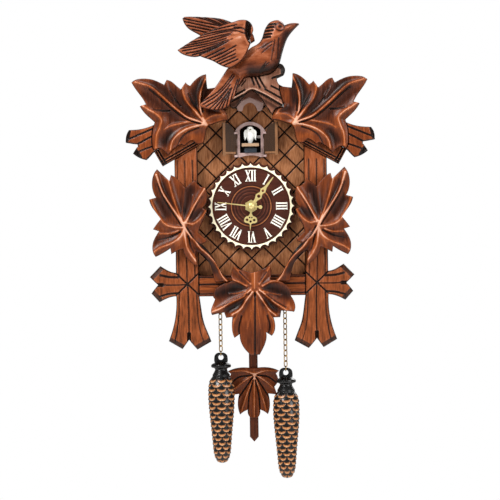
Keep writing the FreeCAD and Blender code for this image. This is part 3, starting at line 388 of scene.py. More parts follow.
def carved(title, loops, back, front, relief, material, slot, replaced=(), body="root", strokes=(), shades=(),
           pitch=0.9, grid=None, rounding=1.0, cavity_shading=0.35, rim_tone=-0.3):
    """Board between two depths, carved in front. The front is a net of triangles between the outlines and a
    grid of points; each stands above or below the front plane by relief(spots, edge), where edge is its
    distance to the outline, plus what the strokes give it, and the edge is rounded over. The tone darkens
    hollows, and lightens crests, by how far a point lies below or above the average around it: painted shade
    and painted highlight, with stain gathered in the hollows and wear on the crests."""
    rims = [divided(loop, pitch) for loop in loops]
    starts = np.concatenate(rims)
    ends = np.concatenate([np.roll(rim, -1, 0) for rim in rims])
    firsts = np.cumsum([0] + [len(rim) for rim in rims])
    sides = np.concatenate([np.stack([k + np.arange(len(rim)), k + (np.arange(len(rim)) + 1) % len(rim)], 1)
                            for k, rim in zip(firsts, rims)])
    if grid is None:
        low, high = starts.min(0), starts.max(0)
        grid = np.stack(np.meshgrid(np.arange(low[0], high[0], pitch),
                                    np.arange(low[1], high[1], pitch * 0.866)), -1)
        grid[1::2, :, 0] += pitch / 2
        grid = grid.reshape(-1, 2)
    if strokes:
        grid = np.concatenate([seeds(strokes, pitch), grid])
        _, first = np.unique(np.round(grid / (0.5 * pitch)), axis=0, return_index=True)
        grid = grid[np.sort(first)]
    grid = grid[within(grid, starts, ends)]
    grid = grid[nearest(grid, starts, ends)[0] > 0.4 * pitch]
    spots, faces, went = net(np.concatenate([starts, grid]), sides, starts, ends)
    edge = nearest(spots, starts, ends)[0]
    height, tone = relief(spots, edge)
    lift, marks = carve(spots, strokes, shades)
    height, tone = height + lift, tone + marks
    over = np.clip(1 - edge / rounding, 0, 1)
    height = np.minimum(height - rounding * (1 - np.sqrt(1 - over ** 2)) * 0.8, 0)
    links = np.concatenate([faces[:, [0, 1]], faces[:, [1, 2]], faces[:, [2, 0]]])
    number = np.bincount(links.ravel(), minlength=len(spots)).clip(1)
    mean = height
    for _ in range(14):
        total = np.bincount(links[:, 0], mean[links[:, 1]], len(spots)) + \
            np.bincount(links[:, 1], mean[links[:, 0]], len(spots))
        mean = 0.3 * mean + 0.7 * total / number
    # Painted shade in hollows and painted highlight on crests, with stain and wear, from each point's height
    # against its neighbours' average
    tone = tone + cavity_shading * np.clip(height - mean, -1.6, 1.6) + rim_tone * (edge < 0.3 * rounding)
    face = np.stack([spots[:, 0], -np.clip(front + height, back + 0.3, front), spots[:, 1]], 1)
    upper = went[:len(starts)]
    halfway, foot = face[upper], face[upper]
    halfway[:, 1] = (halfway[:, 1] - back) / 2
    foot[:, 1] = -back
    rows = [upper, len(face) + np.arange(len(starts)), len(face) + len(starts) + np.arange(len(starts))]
    walls = [np.stack([over_row[sides[:, 1]], over_row[sides[:, 0]], row[sides[:, 0]], row[sides[:, 1]]], 1)
             for over_row, row in zip(rows, rows[1:])]
    _, behind, behind_went = net(starts, sides, starts, ends)
    back_of = np.empty(behind_went.max() + 1, int)
    back_of[behind_went] = np.arange(len(starts))
    behind = rows[2][back_of[behind]][:, ::-1]
    all_tone = np.concatenate([tone, np.full(2 * len(starts), rim_tone * 0.8)])
    return piece(title, np.concatenate([face, halfway, foot]),
                 faces.tolist() + np.concatenate(walls).tolist() + behind.tolist(),
                 material, body, all_tone, replaced)


def extents(node):
    """Back and front depth of a board of the frame, in mm."""
    low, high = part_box(node)
    return -high.y * 1000, -low.y * 1000


def level(height, tone):
    """Relief of a flat face: the same height and tone all over."""
    return lambda spots, edge: (np.full(len(spots), float(height)), np.full(len(spots), float(tone)))


panel_node = "front_panel"
lattice, lattice_at = 23.1, 13.8            # pitch of the grooves along x, and the height of the first
groove_half, groove_deep = 0.85, 1.3


def from_groove(reach):
    """Distance of a line at 45 degrees from the nearest groove, where it crosses x or z at reach."""
    return np.abs((reach + lattice / 2) % lattice - lattice / 2) / math.sqrt(2)


def lozenges(spots, edge):
    """V-grooves along both diagonals, darkened by stain gathered in them and by painted shade; the wood is
    darker towards the foot of the panel.
    """
    gap = np.minimum(from_groove(spots[:, 0] + spots[:, 1] + lattice_at),
                     from_groove(spots[:, 0] - spots[:, 1] - lattice_at))
    cut = np.clip(1 - gap / groove_half, 0, 1)
    tone = -1.9 * cut ** 0.5 - 0.30 * np.clip((-145 - spots[:, 1]) / 30, 0, 1) + 0.05
    return -groove_deep * cut, tone


# The grid's lines lie close together at a groove and further apart between two grooves.
offsets = np.array([0, 0.55, 1.2, 2.4, 4.6, 7.0, 9.4, 11.55, 13.7, 16.1, 18.5, 20.7, 21.9, 22.55])
lines = (np.arange(-13, 14)[:, None] * lattice + offsets).ravel()
u, v = np.meshgrid(lines - lattice_at, lines + lattice_at)
panel_grid = np.stack([(u + v) / 2, (u - v) / 2], -1).reshape(-1, 2)
panel_wood = stained("panel_wood", along=(0.8, 0.8, 6), base=0.06, streak=1.0, gloss=0.42,
                     stain=((0.00, (0.008, 0.004, 0.002)), (0.25, (0.060, 0.022, 0.010)),
                            (0.50, (0.225, 0.079, 0.028)), (0.75, (0.390, 0.165, 0.070)),
                            (1.00, (0.620, 0.380, 0.230))))
carved("carved_panel", outlines(panel_node), *extents(panel_node), lozenges, panel_wood, "panel_wood",
       (panel_node,), pitch=2.0, grid=panel_grid, rounding=0.5, cavity_shading=0.1, rim_tone=-0.2)


# ---- Corner leaves -----------------------------------------------------------------------------------
# Large maple leaves over the eaves, carved deep in limewood: sharp ribs, hollow lobes and raised rims,
# stained dark and deepened with painted shade in the hollows, rubbed back to orange on the ribs under a
# painted sheen, and glued to the front of the frame.
leaf_wood = stained("leaf_wood", along=(1.4, 1.4, 14), base=-0.04, streak=0.60, gloss=0.26)


def flipped(strokes):
    """The strokes for the right-hand piece, which mirrors the left one."""
    return [(height, right, left, shade, last, [(-x, z) for x, z in points])
            for height, left, right, shade, last, points in strokes]


def mirror_shades(shades):
    """The shades for the right-hand piece."""
    return [(shade, reach, [(-x, z) for x, z in points]) for shade, reach, points in shades]


def dished(hollow, curl=1.0, curl_width=1.8):
    """Relief of a leaf: its floor lies deep, and its rim curls up a little."""
    return lambda spots, edge: (curl * np.exp(-edge / curl_width) - hollow, np.zeros(len(spots)))


CORNER_RIBS = [
    (6.2, 4.4, 2, 0.95, 0.8, [(-44.5, -17.9), (-51.5, -14.8), (-61.5, -11.1), (-69.4, -5.5), (-79.3, 3.1),
     (-89.1, 12.3), (-99, 20.4), (-114, 25.1)]),
    (5.8, 3, 5.4, 0.75, 0.8, [(-44.5, -17.9), (-54.4, -5.2), (-62.2, 3.9), (-66.1, 12.9), (-67, 23)]),
    (5.6, 2.2, 3.6, 1.1, 0.85, [(-45, -16.4), (-48.4, -7.3), (-49.8, 2.7), (-49.1, 12.7), (-46, 22.7),
     (-41.9, 29.6)]),
    (5.8, 3.6, 2.6, 1, 0.85, [(-44.5, -17.9), (-54.6, -19.7), (-64.6, -23.1), (-72.7, -28.5),
     (-77.8, -34.9), (-79.9, -42.9)]),
    (3.4, 2.4, 2.6, 0.8, 0.7, [(-59.5, -14.7), (-67.5, -16.5), (-79.6, -19.4), (-85.6, -22.8)]),
    (5.2, 4.4, 3.6, 0.75, 0.95, [(-108.3, 2.5), (-101.3, -2.6), (-94.4, -6.7), (-88.5, -12.8),
     (-90.1, -20.7), (-93.3, -28.7), (-94.3, -40.7)]),
    (4, 2.6, 3, 0.5, 0.6, [(-45, -14.4), (-37.4, -9.5), (-27.4, -7.6)]),
    (3, 2.6, 2.6, 0.45, 0.9, [(-35.3, -0.5), (-30.3, -3.6), (-26.4, -8.6)]),
    (2.4, 2.2, 2.2, 0.2, 0.6, [(-76.2, 9.1), (-81.1, 17.1), (-83, 24.2)]),
    (-1.8, 1.3, 1.3, -0.7, 0.2, [(-80.4, -3.9), (-87.4, -3.8), (-96.3, -2.6)]),
    (-1.8, 1.2, 1.2, -0.8, 0.5, [(-49.5, -17.3), (-61.5, -13.5), (-69.9, -8), (-80.1, 0.3), (-90.2, 9.7),
     (-100.1, 17.8)]),
    (-1.6, 1.2, 1.2, -0.6, 0.4, [(-47.4, -10.3), (-56.3, 2.8), (-61.1, 12.9)]),
    (-1.6, 1.2, 1.2, -0.6, 0.4, [(-47, -5.3), (-47.6, 4.7), (-46.7, 14.7)]),
    (-1.4, 1.1, 1.1, -0.6, 0.4, [(-51.6, -21.3), (-61.6, -25.1), (-68.7, -31), (-72.8, -39)]),
    (-1.2, 1, 1, -0.5, 0.3, [(-69.3, 1), (-76.2, 10.1), (-79.1, 17.1)]),
]
# Painted shade in the hollow lobes between the ribs, and painted light on two raised spots
CORNER_SHADE = [
    (-0.55, 7, [(-61.3, -1.1), (-79.1, 13.1), (-94, 21.3)]),
    (-0.75, 4.5, [(-53.8, 2.8), (-55.1, 12.8), (-49, 22.7)]),
    (-0.75, 4, [(-44.2, 4.6), (-43, 20.6)]),
    (-0.35, 8, [(-71.4, -9), (-87.3, 1.2), (-103.1, 11.5)]),
    (-0.7, 4.5, [(-79.7, -26.9), (-85.8, -34.8)]),
    (-0.65, 4, [(-40.3, -3.4), (-29.3, 0.4)]),
    (0.25, 4, [(-59.7, -28.2), (-51.7, -31.3)]),
    (0.35, 3.5, [(-26.4, -9.6), (-30.5, -12.6)]),
]


def leaf_pair(kind, ribs, shades, hollow):
    """The left leaf as drawn, and its mirror image on the right."""
    back, front = extents(kind + "_left")
    for node, strokes, painted_shading in ((kind + "_left", ribs, shades),
                                  (kind + "_right", flipped(ribs), mirror_shades(shades))):
        carved("carved_" + node, outlines(node), back, front, dished(hollow), leaf_wood, "carved_wood",
               (node,), strokes=strokes, shades=painted_shading, pitch=0.75, rounding=1.3)


leaf_pair("corner_leaf", CORNER_RIBS, CORNER_SHADE, 6.4)


# ---- Twigs -------------------------------------------------------------------------------------------
# Short split twigs beside the corner leaves, with two grooves each and their ends cut square and dark.
TWIG_CUTS = [
    (-1.6, 1.2, 1.2, -1.1, 0.8, [(-93.6, -20.2), (-106.7, -25.5), (-121.8, -31.8)]),
    (-1.6, 1.2, 1.2, -1.1, 0.8, [(-95.7, -28.1), (-103.8, -32), (-111.8, -36.4)]),
    (-1.4, 1.1, 1.1, -1, 0.8, [(-95.8, -38.7), (-105.9, -42), (-116, -46.4)]),
    (-3, 3.4, 3.4, -1.1, 1, [(-121.1, -18.8), (-124.3, -31.8)]),
    (-3, 3, 3, -1, 1, [(-116.9, -40.4), (-111, -49.9)]),
]
twig_rims = sorted(outlines("twigs"), key=lambda loop: loop[:, 0].mean())
for side, rim, strokes in (("left", twig_rims[0], TWIG_CUTS), ("right", twig_rims[-1], flipped(TWIG_CUTS))):
    twig = carved("carved_twig_" + side, [rim], *extents("twigs"), level(-1.2, 0.04), leaf_wood,
                  "carved_wood", strokes=strokes, pitch=0.8, rounding=1.4, rim_tone=-0.9)
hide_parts("twigs")                  # one node holds both twigs, so it is hidden after both are made


# ---- Side leaves -------------------------------------------------------------------------------------
# Tall leaves on the posts, each with a long stem that reaches down to the leaf in the middle.
SIDE_RIBS = [
    (6.2, 2.2, 2.6, 1.2, 0.9, [(-94.2, -67.7), (-88.5, -84.8), (-80.7, -97.9), (-72.8, -110),
     (-67, -120.1), (-61.1, -129.2), (-56.2, -134.2), (-51.3, -141.3), (-43.4, -148.4), (-36.5, -156.5),
     (-32.6, -163.6), (-29.7, -169.6), (-24.7, -175.7)]),
    (5.4, 4.6, 2.6, 0.8, 0.85, [(-67, -119.1), (-72.8, -105), (-77.6, -90.9), (-82.3, -72.9)]),
    (5.4, 2.6, 3.4, 1.1, 0.9, [(-65.9, -116.1), (-61.8, -109.1), (-55.7, -97.2), (-46.4, -82.4)]),
    (4.6, 2.6, 3.6, 0.7, 0.9, [(-66.9, -116.1), (-62.9, -116.6), (-57.9, -117.2), (-50.9, -112.3),
     (-45.3, -104.4)]),
    (4.6, 3, 3.4, 0.6, 0.9, [(-68, -120.6), (-76, -120.5), (-85, -117.8), (-90.9, -111.7), (-97.7, -98.6),
     (-100.1, -91.6)]),
    (5, 3.6, 3, 0.7, 0.9, [(-67, -122.1), (-71.1, -130), (-79.2, -135.9), (-91.3, -140.7),
     (-97.3, -144.7)]),
    (2.8, 1.6, 1.6, 0.85, 0.7, [(-73, -123.6), (-81.1, -126.4), (-91.1, -126.7)]),
    (5.2, 3.4, 3.4, 0.85, 0.95, [(-67, -123.1), (-66.1, -131.1), (-64.3, -141.1), (-58.4, -151.2),
     (-53.5, -156.3)]),
    (2.6, 1.8, 1.8, 0.55, 0.6, [(-68, -118.1), (-60.7, -103.2), (-57.5, -89.2)]),
    (2.6, 2.4, 2.4, 0.3, 0.6, [(-69.9, -111), (-67.6, -95.1), (-66.4, -81.1)]),
    (-1.5, 1.1, 1.1, -0.8, 0.6, [(-64.4, -121.1), (-58.1, -131.2), (-51.2, -138.3), (-43.3, -146),
     (-34.5, -155.5), (-29.6, -164.6)]),
    (-1.4, 1.1, 1.1, -0.7, 0.4, [(-69.6, -119), (-74.9, -111), (-82.7, -98.9), (-89.5, -86.8),
     (-93.4, -76.7)]),
    (-1.4, 1.1, 1.1, -0.6, 0.3, [(-61.9, -112.1), (-55.7, -100.2), (-49.6, -90.3)]),
    (-1.4, 1.1, 1.1, -0.7, 0.3, [(-71, -125), (-81.1, -129.9), (-93.2, -132.7)]),
    (-1.4, 1, 1, -0.7, 0.3, [(-63.1, -129.1), (-60.3, -141.2), (-55.4, -149.2)]),
]
# Painted shade in the hollows beside the ribs and along the stem, and painted light on two raised spots
SIDE_SHADE = [
    (-0.75, 5.5, [(-66.7, -103.1), (-60.5, -83.2)]),
    (-0.55, 5, [(-84.8, -106.8), (-92.6, -94.7)]),
    (-0.6, 3.5, [(-58.8, -109.2), (-50.8, -104.3)]),
    (-0.45, 5, [(-78.7, -98.9), (-88.4, -78.8)]),
    (-0.35, 5, [(-81.1, -129.9), (-95.2, -132.7)]),
    (-0.85, 3, [(-47.2, -139.4), (-37.4, -149.5), (-28.6, -162.6)]),
    (0.45, 3, [(-67.1, -127.1), (-73.2, -137)]),
    (-0.5, 4, [(-54.3, -144.3), (-44.5, -154.4), (-37.6, -163.5)]),
    (0.35, 4, [(-56.4, -147.2), (-54.5, -154.3)]),
]
leaf_pair("side_leaf", SIDE_RIBS, SIDE_SHADE, 6.2)


# ---- Centre leaf -------------------------------------------------------------------------------------
# The leaf over the middle of the rail: side lobes darkened with painted shade between sharp ribs, and a long
# raised middle lobe.
CENTRE_RIBS = [
    (6, 2.4, 2.4, 1.15, 0.95, [(0.1, -186), (-6, -193.9), (-12.1, -202.9), (-20.2, -208.2)]),
    (6, 2.4, 2.4, 1.15, 0.95, [(4.5, -186.1), (10, -194.2), (16.4, -203.8), (22.8, -209.3)]),
    (5.6, 2.4, 3.4, 1.05, 0.9, [(-1.9, -184), (-10, -190.4), (-22, -196.2), (-32.1, -202.1),
     (-42.2, -205.9)]),
    (5.6, 3.4, 2.4, 0.9, 0.9, [(7.1, -184.1), (15.1, -190.2), (23, -197.3), (33.9, -204.5)]),
    (4.6, 2.6, 3.6, 0.8, 0.9, [(-5.8, -179.9), (-15.7, -174.8), (-25.7, -173.2), (-33.7, -175.6),
     (-40.8, -182.5)]),
    (4.6, 3.6, 2.6, 0.8, 0.9, [(10.2, -180.2), (20.3, -175.3), (30.3, -175.9), (36.2, -179.5),
     (40.1, -184.6)]),
    (2.4, 1.2, 1.2, 0.8, 0.8, [(-5.9, -184.5), (-13.9, -186.8), (-22.9, -187.7)]),
    (2.4, 1.2, 1.2, 0.8, 0.8, [(11.1, -185.2), (20.1, -187.8), (28.1, -189.4)]),
    (2, 1, 1, 0.6, 0.7, [(-4.9, -190), (-10, -193.9), (-15.1, -197.8)]),
    (4.4, 5, 5, 0.35, 0.8, [(2.2, -182.1), (2.3, -172.1), (2.4, -166.6)]),
    (4, 2.6, 2.6, 0.55, 0.9, [(-1.8, -178), (-9.7, -169.9), (-17.5, -160.8)]),
    (4, 2.6, 2.6, 0.55, 0.9, [(7.2, -178.1), (12.3, -170.2), (17.5, -161.3)]),
    (5, 8, 8, 0.02, 0.95, [(2.3, -192.1), (2.1, -210.1), (1.8, -230.1), (1.6, -246.1)]),
    (3.4, 3, 3, 0.4, 0.9, [(-14.2, -205.8), (-19.3, -215.8), (-21, -227.7)]),
    (3.4, 3, 3, 0.4, 0.9, [(15.8, -206.3), (20.7, -216.3), (20, -227.3)]),
    (-1.7, 1.3, 1.3, -0.8, 0.7, [(2.6, -187.1), (2.3, -210.1), (1.7, -248.1)]),
    (-1, 0.9, 0.9, 0.55, 0.5, [(-1.2, -205), (-2.8, -212), (-5.9, -222)]),
    (-1, 0.9, 0.9, 0.55, 0.5, [(4.9, -203.1), (5.7, -212.1), (7.6, -222.1)]),
    (-1.2, 1, 1, -0.7, 0.5, [(-12.6, -165.8), (-6.7, -171.9), (-2.7, -176)]),
    (-1.2, 1, 1, -0.7, 0.5, [(14.4, -166.2), (10.3, -172.2), (7.3, -176.1)]),
    (-1.3, 1, 1, -0.7, 0.5, [(-5.9, -187.9), (-16, -192.8), (-30.1, -199.2)]),
    (-1.3, 1, 1, -0.7, 0.5, [(14.1, -188.7), (22, -194.8), (32.9, -201.5)]),
    (-1.4, 1.1, 1.1, -0.5, 0.7, [(-11.2, -209.9), (-13.9, -221.8), (-13.5, -231.8)]),
    (-1.4, 1.1, 1.1, -0.5, 0.7, [(14.8, -210.2), (17, -220.3), (15, -229.2)]),
]
# Painted shade on the side lobes and down the middle lobe, painted light beside it, at its root and at two
# tips
CENTRE_SHADE = [
    (-0.8, 5.5, [(-11.8, -180.9), (-33.9, -187.6)]),
    (-0.8, 5.5, [(16.2, -181.3), (34.1, -188.5)]),
    (-0.75, 4, [(-10, -195.9), (-24.1, -202.7)]),
    (-0.75, 4, [(12, -196.2), (21.9, -202.3)]),
    (0.2, 6, [(-2.1, -198), (-6.3, -211.9)]),
    (0.2, 6, [(6.9, -198.1), (10.7, -212.2)]),
    (-0.15, 9, [(1.8, -210.1), (1.4, -240.1)]),
    (0.3, 5, [(2.3, -176.1), (2.4, -168.1)]),
    (0.35, 3, [(-38.1, -202.5), (-44.1, -199.4)]),
    (0.35, 3, [(35.9, -199.5), (39.9, -202.6)]),
]
carved("carved_centre_leaf", outlines("centre_leaf"), *extents("centre_leaf"), dished(6.0), leaf_wood,
       "carved_wood", ("centre_leaf",), strokes=CENTRE_RIBS, shades=CENTRE_SHADE, pitch=0.75, rounding=1.3)


# ---- Posts and rail ----------------------------------------------------------------------------------
# Flat limewood frame whose posts end in fishtail arms and feet: shallow grooves along every limb, a deep
# V-cut cross where they meet, and broad dark facets on the ends. The grooves are drawn from the crossing.
post_wood = stained("post_wood", along=(1.0, 1.0, 10), base=-0.09, streak=0.95, gloss=0.30,
                    stain=((0.00, (0.010, 0.003, 0.001)), (0.28, (0.070, 0.018, 0.005)),
                           (0.50, (0.225, 0.055, 0.014)), (0.74, (0.370, 0.125, 0.055)),
                           (1.00, (0.620, 0.400, 0.320))))
LIMB_CUTS = [
    (-1.9, 1, 1, -1.1, 1, [(-10.8, 10.6), (0, 0), (10.8, -10.2)]),
    (-1.9, 1, 1, -1.1, 1, [(10.8, 10.4), (0, 0), (-10.8, -10.2)]),
    (-1.4, 0.8, 0.8, -0.9, 1, [(-1.2, -0.5), (-14, -0.7), (-30, -0.4)]),
    (-1.5, 1.4, 1.4, -0.9, 1, [(-9, 7), (-18, 7.4), (-27, 9.4)]),
    (-1.3, 1.2, 1.2, -0.9, 1, [(-9, -8.8), (-19, -9.6), (-28, -12)]),
    (-1.4, 0.8, 0.8, -0.9, 1, [(0.2, -1.2), (1, -30), (0.9, -55)]),
    (-1.2, 0.8, 0.8, -0.7, 1, [(-8.6, -9.6), (-9, -30), (-11.4, -48), (-13.5, -58)]),
    (-0.9, 0.8, 0.8, -0.5, 1, [(9.2, -9.6), (9.8, -30), (12, -46), (15.5, -58)]),
    (-0.9, 0.9, 0.9, -0.55, 1, [(-8.4, 9), (-8.6, 60), (-8.8, 124)]),
    (-0.9, 0.9, 0.9, -0.55, 1, [(-0.2, 1.2), (-1, 60), (-1.2, 124)]),
    (-0.9, 0.9, 0.9, -0.55, 1, [(7.6, 8.4), (7, 60), (6.6, 124)]),
    (-3.4, 5, 5, -0.62, 1, [(-27.4, 18.4), (-38, 7.6)]),
    (-3.4, 5, 5, -0.62, 1, [(-36.6, -8.9), (-28.5, -17.9)]),
    (-3.4, 5, 5, -0.6, 1, [(-19.7, -57.2), (-6, -65.3)]),
    (-3.4, 5, 5, -0.6, 1, [(9, -66), (22.9, -58.2)]),
    (-3, 2.2, 2.2, -1.1, 1, [(0.8, -50), (0.7, -60)]),
    (-2.6, 2.2, 2.2, -1, 1, [(-25.5, -0.4), (-32, -0.4)]),
]
post_back, post_front = extents("post_left")
crossing = (-65.0, -177.5)


def paler_above(spots, edge):
    """Flat relief, a little paler towards the top."""
    return 0 * edge, 0.12 + 0.10 * np.clip((spots[:, 1] + 150) / 40, -1, 1)


for side, flip in (("left", 1), ("right", -1)):
    strokes = LIMB_CUTS if flip == 1 else flipped(LIMB_CUTS)
    strokes = [(*cut[:5], [(x + flip * crossing[0], z + crossing[1]) for x, z in cut[5]]) for cut in strokes]
    node = "post_" + side
    carved("carved_" + node, outlines(node), post_back, post_front, paler_above, post_wood, "frame_wood",
           (node,), strokes=strokes, pitch=0.9, rounding=1.9, rim_tone=-0.9, cavity_shading=0.2)

rail_wood = stained("rail_wood", along=(10, 1.0, 1.0), base=0.03, streak=0.85, gloss=0.30)
RAIL_CUTS = [
    (-1.5, 1.1, 1.1, -1.1, 1, [(-54, -178), (0, -178), (54, -178)]),
    (-1.2, 1, 1, -0.9, 1, [(-54, -170.8), (0, -170.8), (54, -170.8)]),
    (-1.2, 1, 1, -0.9, 1, [(-54, -187.6), (0, -187.6), (54, -187.6)]),
]
carved("carved_rail", outlines("cross_rail"), *extents("cross_rail"), level(0, 0.05), rail_wood, "frame_wood",
       ("cross_rail",), strokes=RAIL_CUTS, pitch=1.2, rounding=1.0, rim_tone=-0.8, cavity_shading=0.2)


# ---- Eaves -------------------------------------------------------------------------------------------
# Two sloping boards under the roof's edge. Two grooves, darkened with painted shade, and a pale line between
# them run along the lower side of each; a line is its height, half width, tone and distance from that side.
EAVE_LINES = ((-2.2, 1.0, -1.3, 1.9), (-2.2, 1.0, -1.3, 4.4), (0.01, 0.9, 0.6, 3.1))
eave_cuts = []
for rim in outlines("eave_boards"):
    ends = np.roll(rim, -1, 0)
    steep = np.argsort(-np.linalg.norm(ends - rim, axis=1))[:4]
    for start, end in zip(rim[steep], ends[steep]):
        inwards = np.array([start[1] - end[1], end[0] - start[0]]) / np.linalg.norm(end - start)
        if inwards[1] > 0.3:
            for height, half, shade, gap in EAVE_LINES:
                line = [start + inwards * gap, (start + end) / 2 + inwards * gap, end + inwards * gap]
                eave_cuts.append((height, half, half, shade, 1.0, line))
carved("carved_eaves", outlines("eave_boards"), *extents("eave_boards"), level(0, 0), post_wood, "frame_wood",
       ("eave_boards",), strokes=eave_cuts, pitch=1.3, rounding=0.8, rim_tone=-0.6)


# ---- Crown block -------------------------------------------------------------------------------------
# Block on the gable with a stub that the bird perches over, its grooves following the roof's slope,
# and below it the dark boards of the gable with the scalloped infill in the apex.
crown_wood = stained("crown_wood", along=(1.2, 1.2, 12), base=-0.12, streak=0.55, gloss=0.28,
                     stain=((0.00, (0.010, 0.005, 0.003)), (0.28, (0.060, 0.022, 0.012)),
                            (0.50, (0.210, 0.085, 0.050)), (0.72, (0.400, 0.210, 0.140)),
                            (1.00, (0.640, 0.440, 0.350))))
CROWN_CUTS = [
    (-1.6, 1.2, 1.2, -1.2, 1, [(-18.2, 4.5), (-7.1, 10.1), (0.9, 13.8), (3.9, 15), (10.9, 12.1),
     (20.8, 6.7), (33.7, -1.1)]),
    (1.6, 1.4, 1.4, 0.8, 1, [(-18.2, 6.9), (-7.1, 12.5), (2, 17), (10.9, 13.7), (20.8, 8.3), (33.7, 0.5)]),
    (-1.6, 1.2, 1.2, -1.1, 1, [(-14.1, 11), (-5.1, 15.5)]),
    (-1.6, 1.2, 1.2, -1.1, 1, [(15.9, 15.8), (24.9, 10.7), (33.8, 5.5)]),
    (-1.6, 1.2, 1.2, -1, 0.8, [(22, 19.1), (27.9, 16), (33.9, 13.1)]),
    (-1.6, 1.2, 1.2, -1.2, 0.6, [(1.9, 28.5), (3.1, 25), (4.6, 20.9)]),
    (-1.8, 1.3, 1.3, -1.2, 0.6, [(5.7, 28.4), (7.5, 23.9), (10.4, 17.9)]),
    (-1.8, 1.3, 1.3, -1.2, 0.6, [(9.5, 28.4), (12, 23.3), (15.6, 17.8)]),
    (-1.6, 1.2, 1.2, -0.9, 0.6, [(-12, 19.2), (-6.9, 25.1)]),
    (-1.4, 1, 1, -0.8, 0.6, [(-8, 20.1), (-3.9, 25.5)]),
    (-3, 4.6, 4.6, -1, 1, [(35.6, 30.5), (34.8, 37.5), (30.3, 41.6)]),
    (-1.6, 1.3, 1.3, -1.2, 1, [(23.1, 27.3), (29.1, 29.2), (36.2, 30.9)]),
]
CROWN_SHADE = [
    (-0.6, 3.4, [(-17.3, 0.3), (-7.2, 6.1), (1.9, 10), (10.8, 7.9), (20.8, 2.7), (31.7, -4.4)]),
    (0.5, 0.9, [(4.9, 11.5), (12.8, 7.8), (20.8, 3.3), (31.7, -3.4)]),
    (0.35, 5, [(-9, 20.1), (3.1, 24), (15.1, 25.8)]),
]
carved("carved_crown", outlines("crown_block"), *extents("crown_block"), level(-1.6, 0.1), crown_wood,
       "frame_wood", ("crown_block",), strokes=CROWN_CUTS, shades=CROWN_SHADE, pitch=0.8, rounding=1.4,
       rim_tone=-0.9)

# Pale pink stain on the doorway's surround, its pinkish-white partly a painted sheen
surround_wood = stained("surround_wood", along=(1.2, 1.2, 8), base=0.20, streak=0.6, gloss=0.3,
                        stain=((0.00, (0.020, 0.012, 0.010)), (0.40, (0.150, 0.085, 0.070)),
                               (0.70, (0.380, 0.260, 0.240)), (1.00, (0.640, 0.520, 0.500))))
trim_wood = stained("trim_wood", along=(9, 1.3, 5), base=-0.06, streak=0.5, pale_behind=0.0845,
                    stain=((0.00, (0.010, 0.004, 0.003)), (0.35, (0.070, 0.022, 0.012)),
                           (0.60, (0.210, 0.085, 0.055)), (1.00, (0.560, 0.400, 0.360))))
dress(trim_wood, "gable_trim")
dress(surround_wood, "door_surround")


# ---- Bird on the gable -------------------------------------------------------------------------------
# A bird with spread wings, carved in three parts: the body with its tail, and two wings with long grooved
# feathers. Nape and eye are cut in, and the wing's root shows its thickness, darkened with painted shade.
bird_wood = stained("bird_wood", along=(9, 1.3, 3), turn=(0, 0.5, 0), base=-0.03, streak=0.70, gloss=0.24,
                    stain=((0.00, (0.012, 0.004, 0.002)), (0.28, (0.060, 0.014, 0.006)),
                           (0.50, (0.180, 0.043, 0.014)), (0.74, (0.350, 0.115, 0.052)),
                           (1.00, (0.620, 0.390, 0.300))))


def feathers(depth, half, shade, lines):
    """Grooves of one depth, half width and tone along the given lines."""
    return [(-depth, half, half, shade, 0.8, line) for line in lines]


FRONT_FEATHERS = feathers(1.5, 1.0, -0.8, [
    [(-44.3, 71.2), (-26.2, 75.4), (-12.2, 78.2)],
    [(-50.3, 67.7), (-33.3, 71.3), (-18.3, 73.7), (-8.2, 75.1)],
    [(-56.4, 64.3), (-40.3, 67.6), (-23.3, 71.3), (-12.3, 72.2), (-4.3, 69.6)],
    [(-62.4, 60.9), (-46.4, 63.7), (-28.3, 67.9), (-16.3, 70.3)],
    [(-66.5, 58), (-50.4, 60.7), (-34.4, 64), (-18.3, 68.7)],
    [(-69.5, 55.6), (-54.5, 57.8), (-38.4, 60.6), (-22.4, 64.8)],
    [(-65.5, 53.5), (-50.5, 55.9), (-34.5, 59.5), (-20.4, 63.3)],
    [(-61.6, 50.9), (-48.5, 53.3), (-34.5, 57.5), (-24.4, 61.4)],
    [(-55.6, 49.4), (-42.6, 52.8), (-30.5, 57.2)],
    [(-48.6, 49.3), (-36.5, 54.1), (-26.5, 59), (-16.4, 64.3)],
    [(-43.6, 46.6), (-34.6, 50.5), (-24.5, 55.4)], [(-39.7, 45.2), (-26.6, 50.4), (-13, 57.7)],
    [(-35.7, 43.1), (-26.6, 46.9), (-13.5, 53.7)], [(-32.7, 41.5), (-13.6, 49.7)],
    [(-29.7, 39.8), (-13.6, 46.4)], [(-24.8, 38.4), (-11.3, 44.2)],
    [(-14.2, 75.7), (-7.2, 75.1), (-2.8, 72.5)]]) + [
    (-4.6, 3.6, 3.6, -1.1, 1.0, [(0.2, 79.5), (-0.8, 74.0), (-0.9, 69.0), (2.0, 62.6), (5.6, 59.9)]),
    (2.2, 2.0, 2.0, 0.35, 1.0, [(-10.2, 80.2), (-4.2, 79.1), (-3.7, 72.1), (-3.4, 66.1), (-0.4, 60.0)]),
    (2.4, 3.0, 3.0, 0.45, 0.4, [(-8.4, 66.1), (-28.4, 60.4), (-56.6, 52.8)]),
    (2.0, 2.6, 2.6, 0.30, 0.4, [(-10.3, 70.2), (-34.3, 68.5), (-58.4, 61.8)]),
]
BACK_FEATHERS = feathers(1.6, 1.0, -0.8, [
    [(-65.1, 88.9), (-46.1, 84.7), (-28.2, 80.9)], [(-64.1, 85.9), (-46.1, 81.7), (-32.2, 78.5)],
    [(-61.1, 81.9), (-44.2, 78.1), (-32.2, 75.5)], [(-56.2, 77.8), (-42.2, 74.6), (-34.3, 72.5)],
    [(-56, 90.8), (-43.1, 87.4), (-25.2, 80.4)], [(-48, 91.1), (-36.1, 86.5), (-22.2, 80.3)],
    [(-40, 90.6), (-31.1, 87), (-20.2, 80.8)], [(-32, 88.9), (-18.1, 81.8)],
    [(-24.1, 87), (-14.1, 82.2)]])
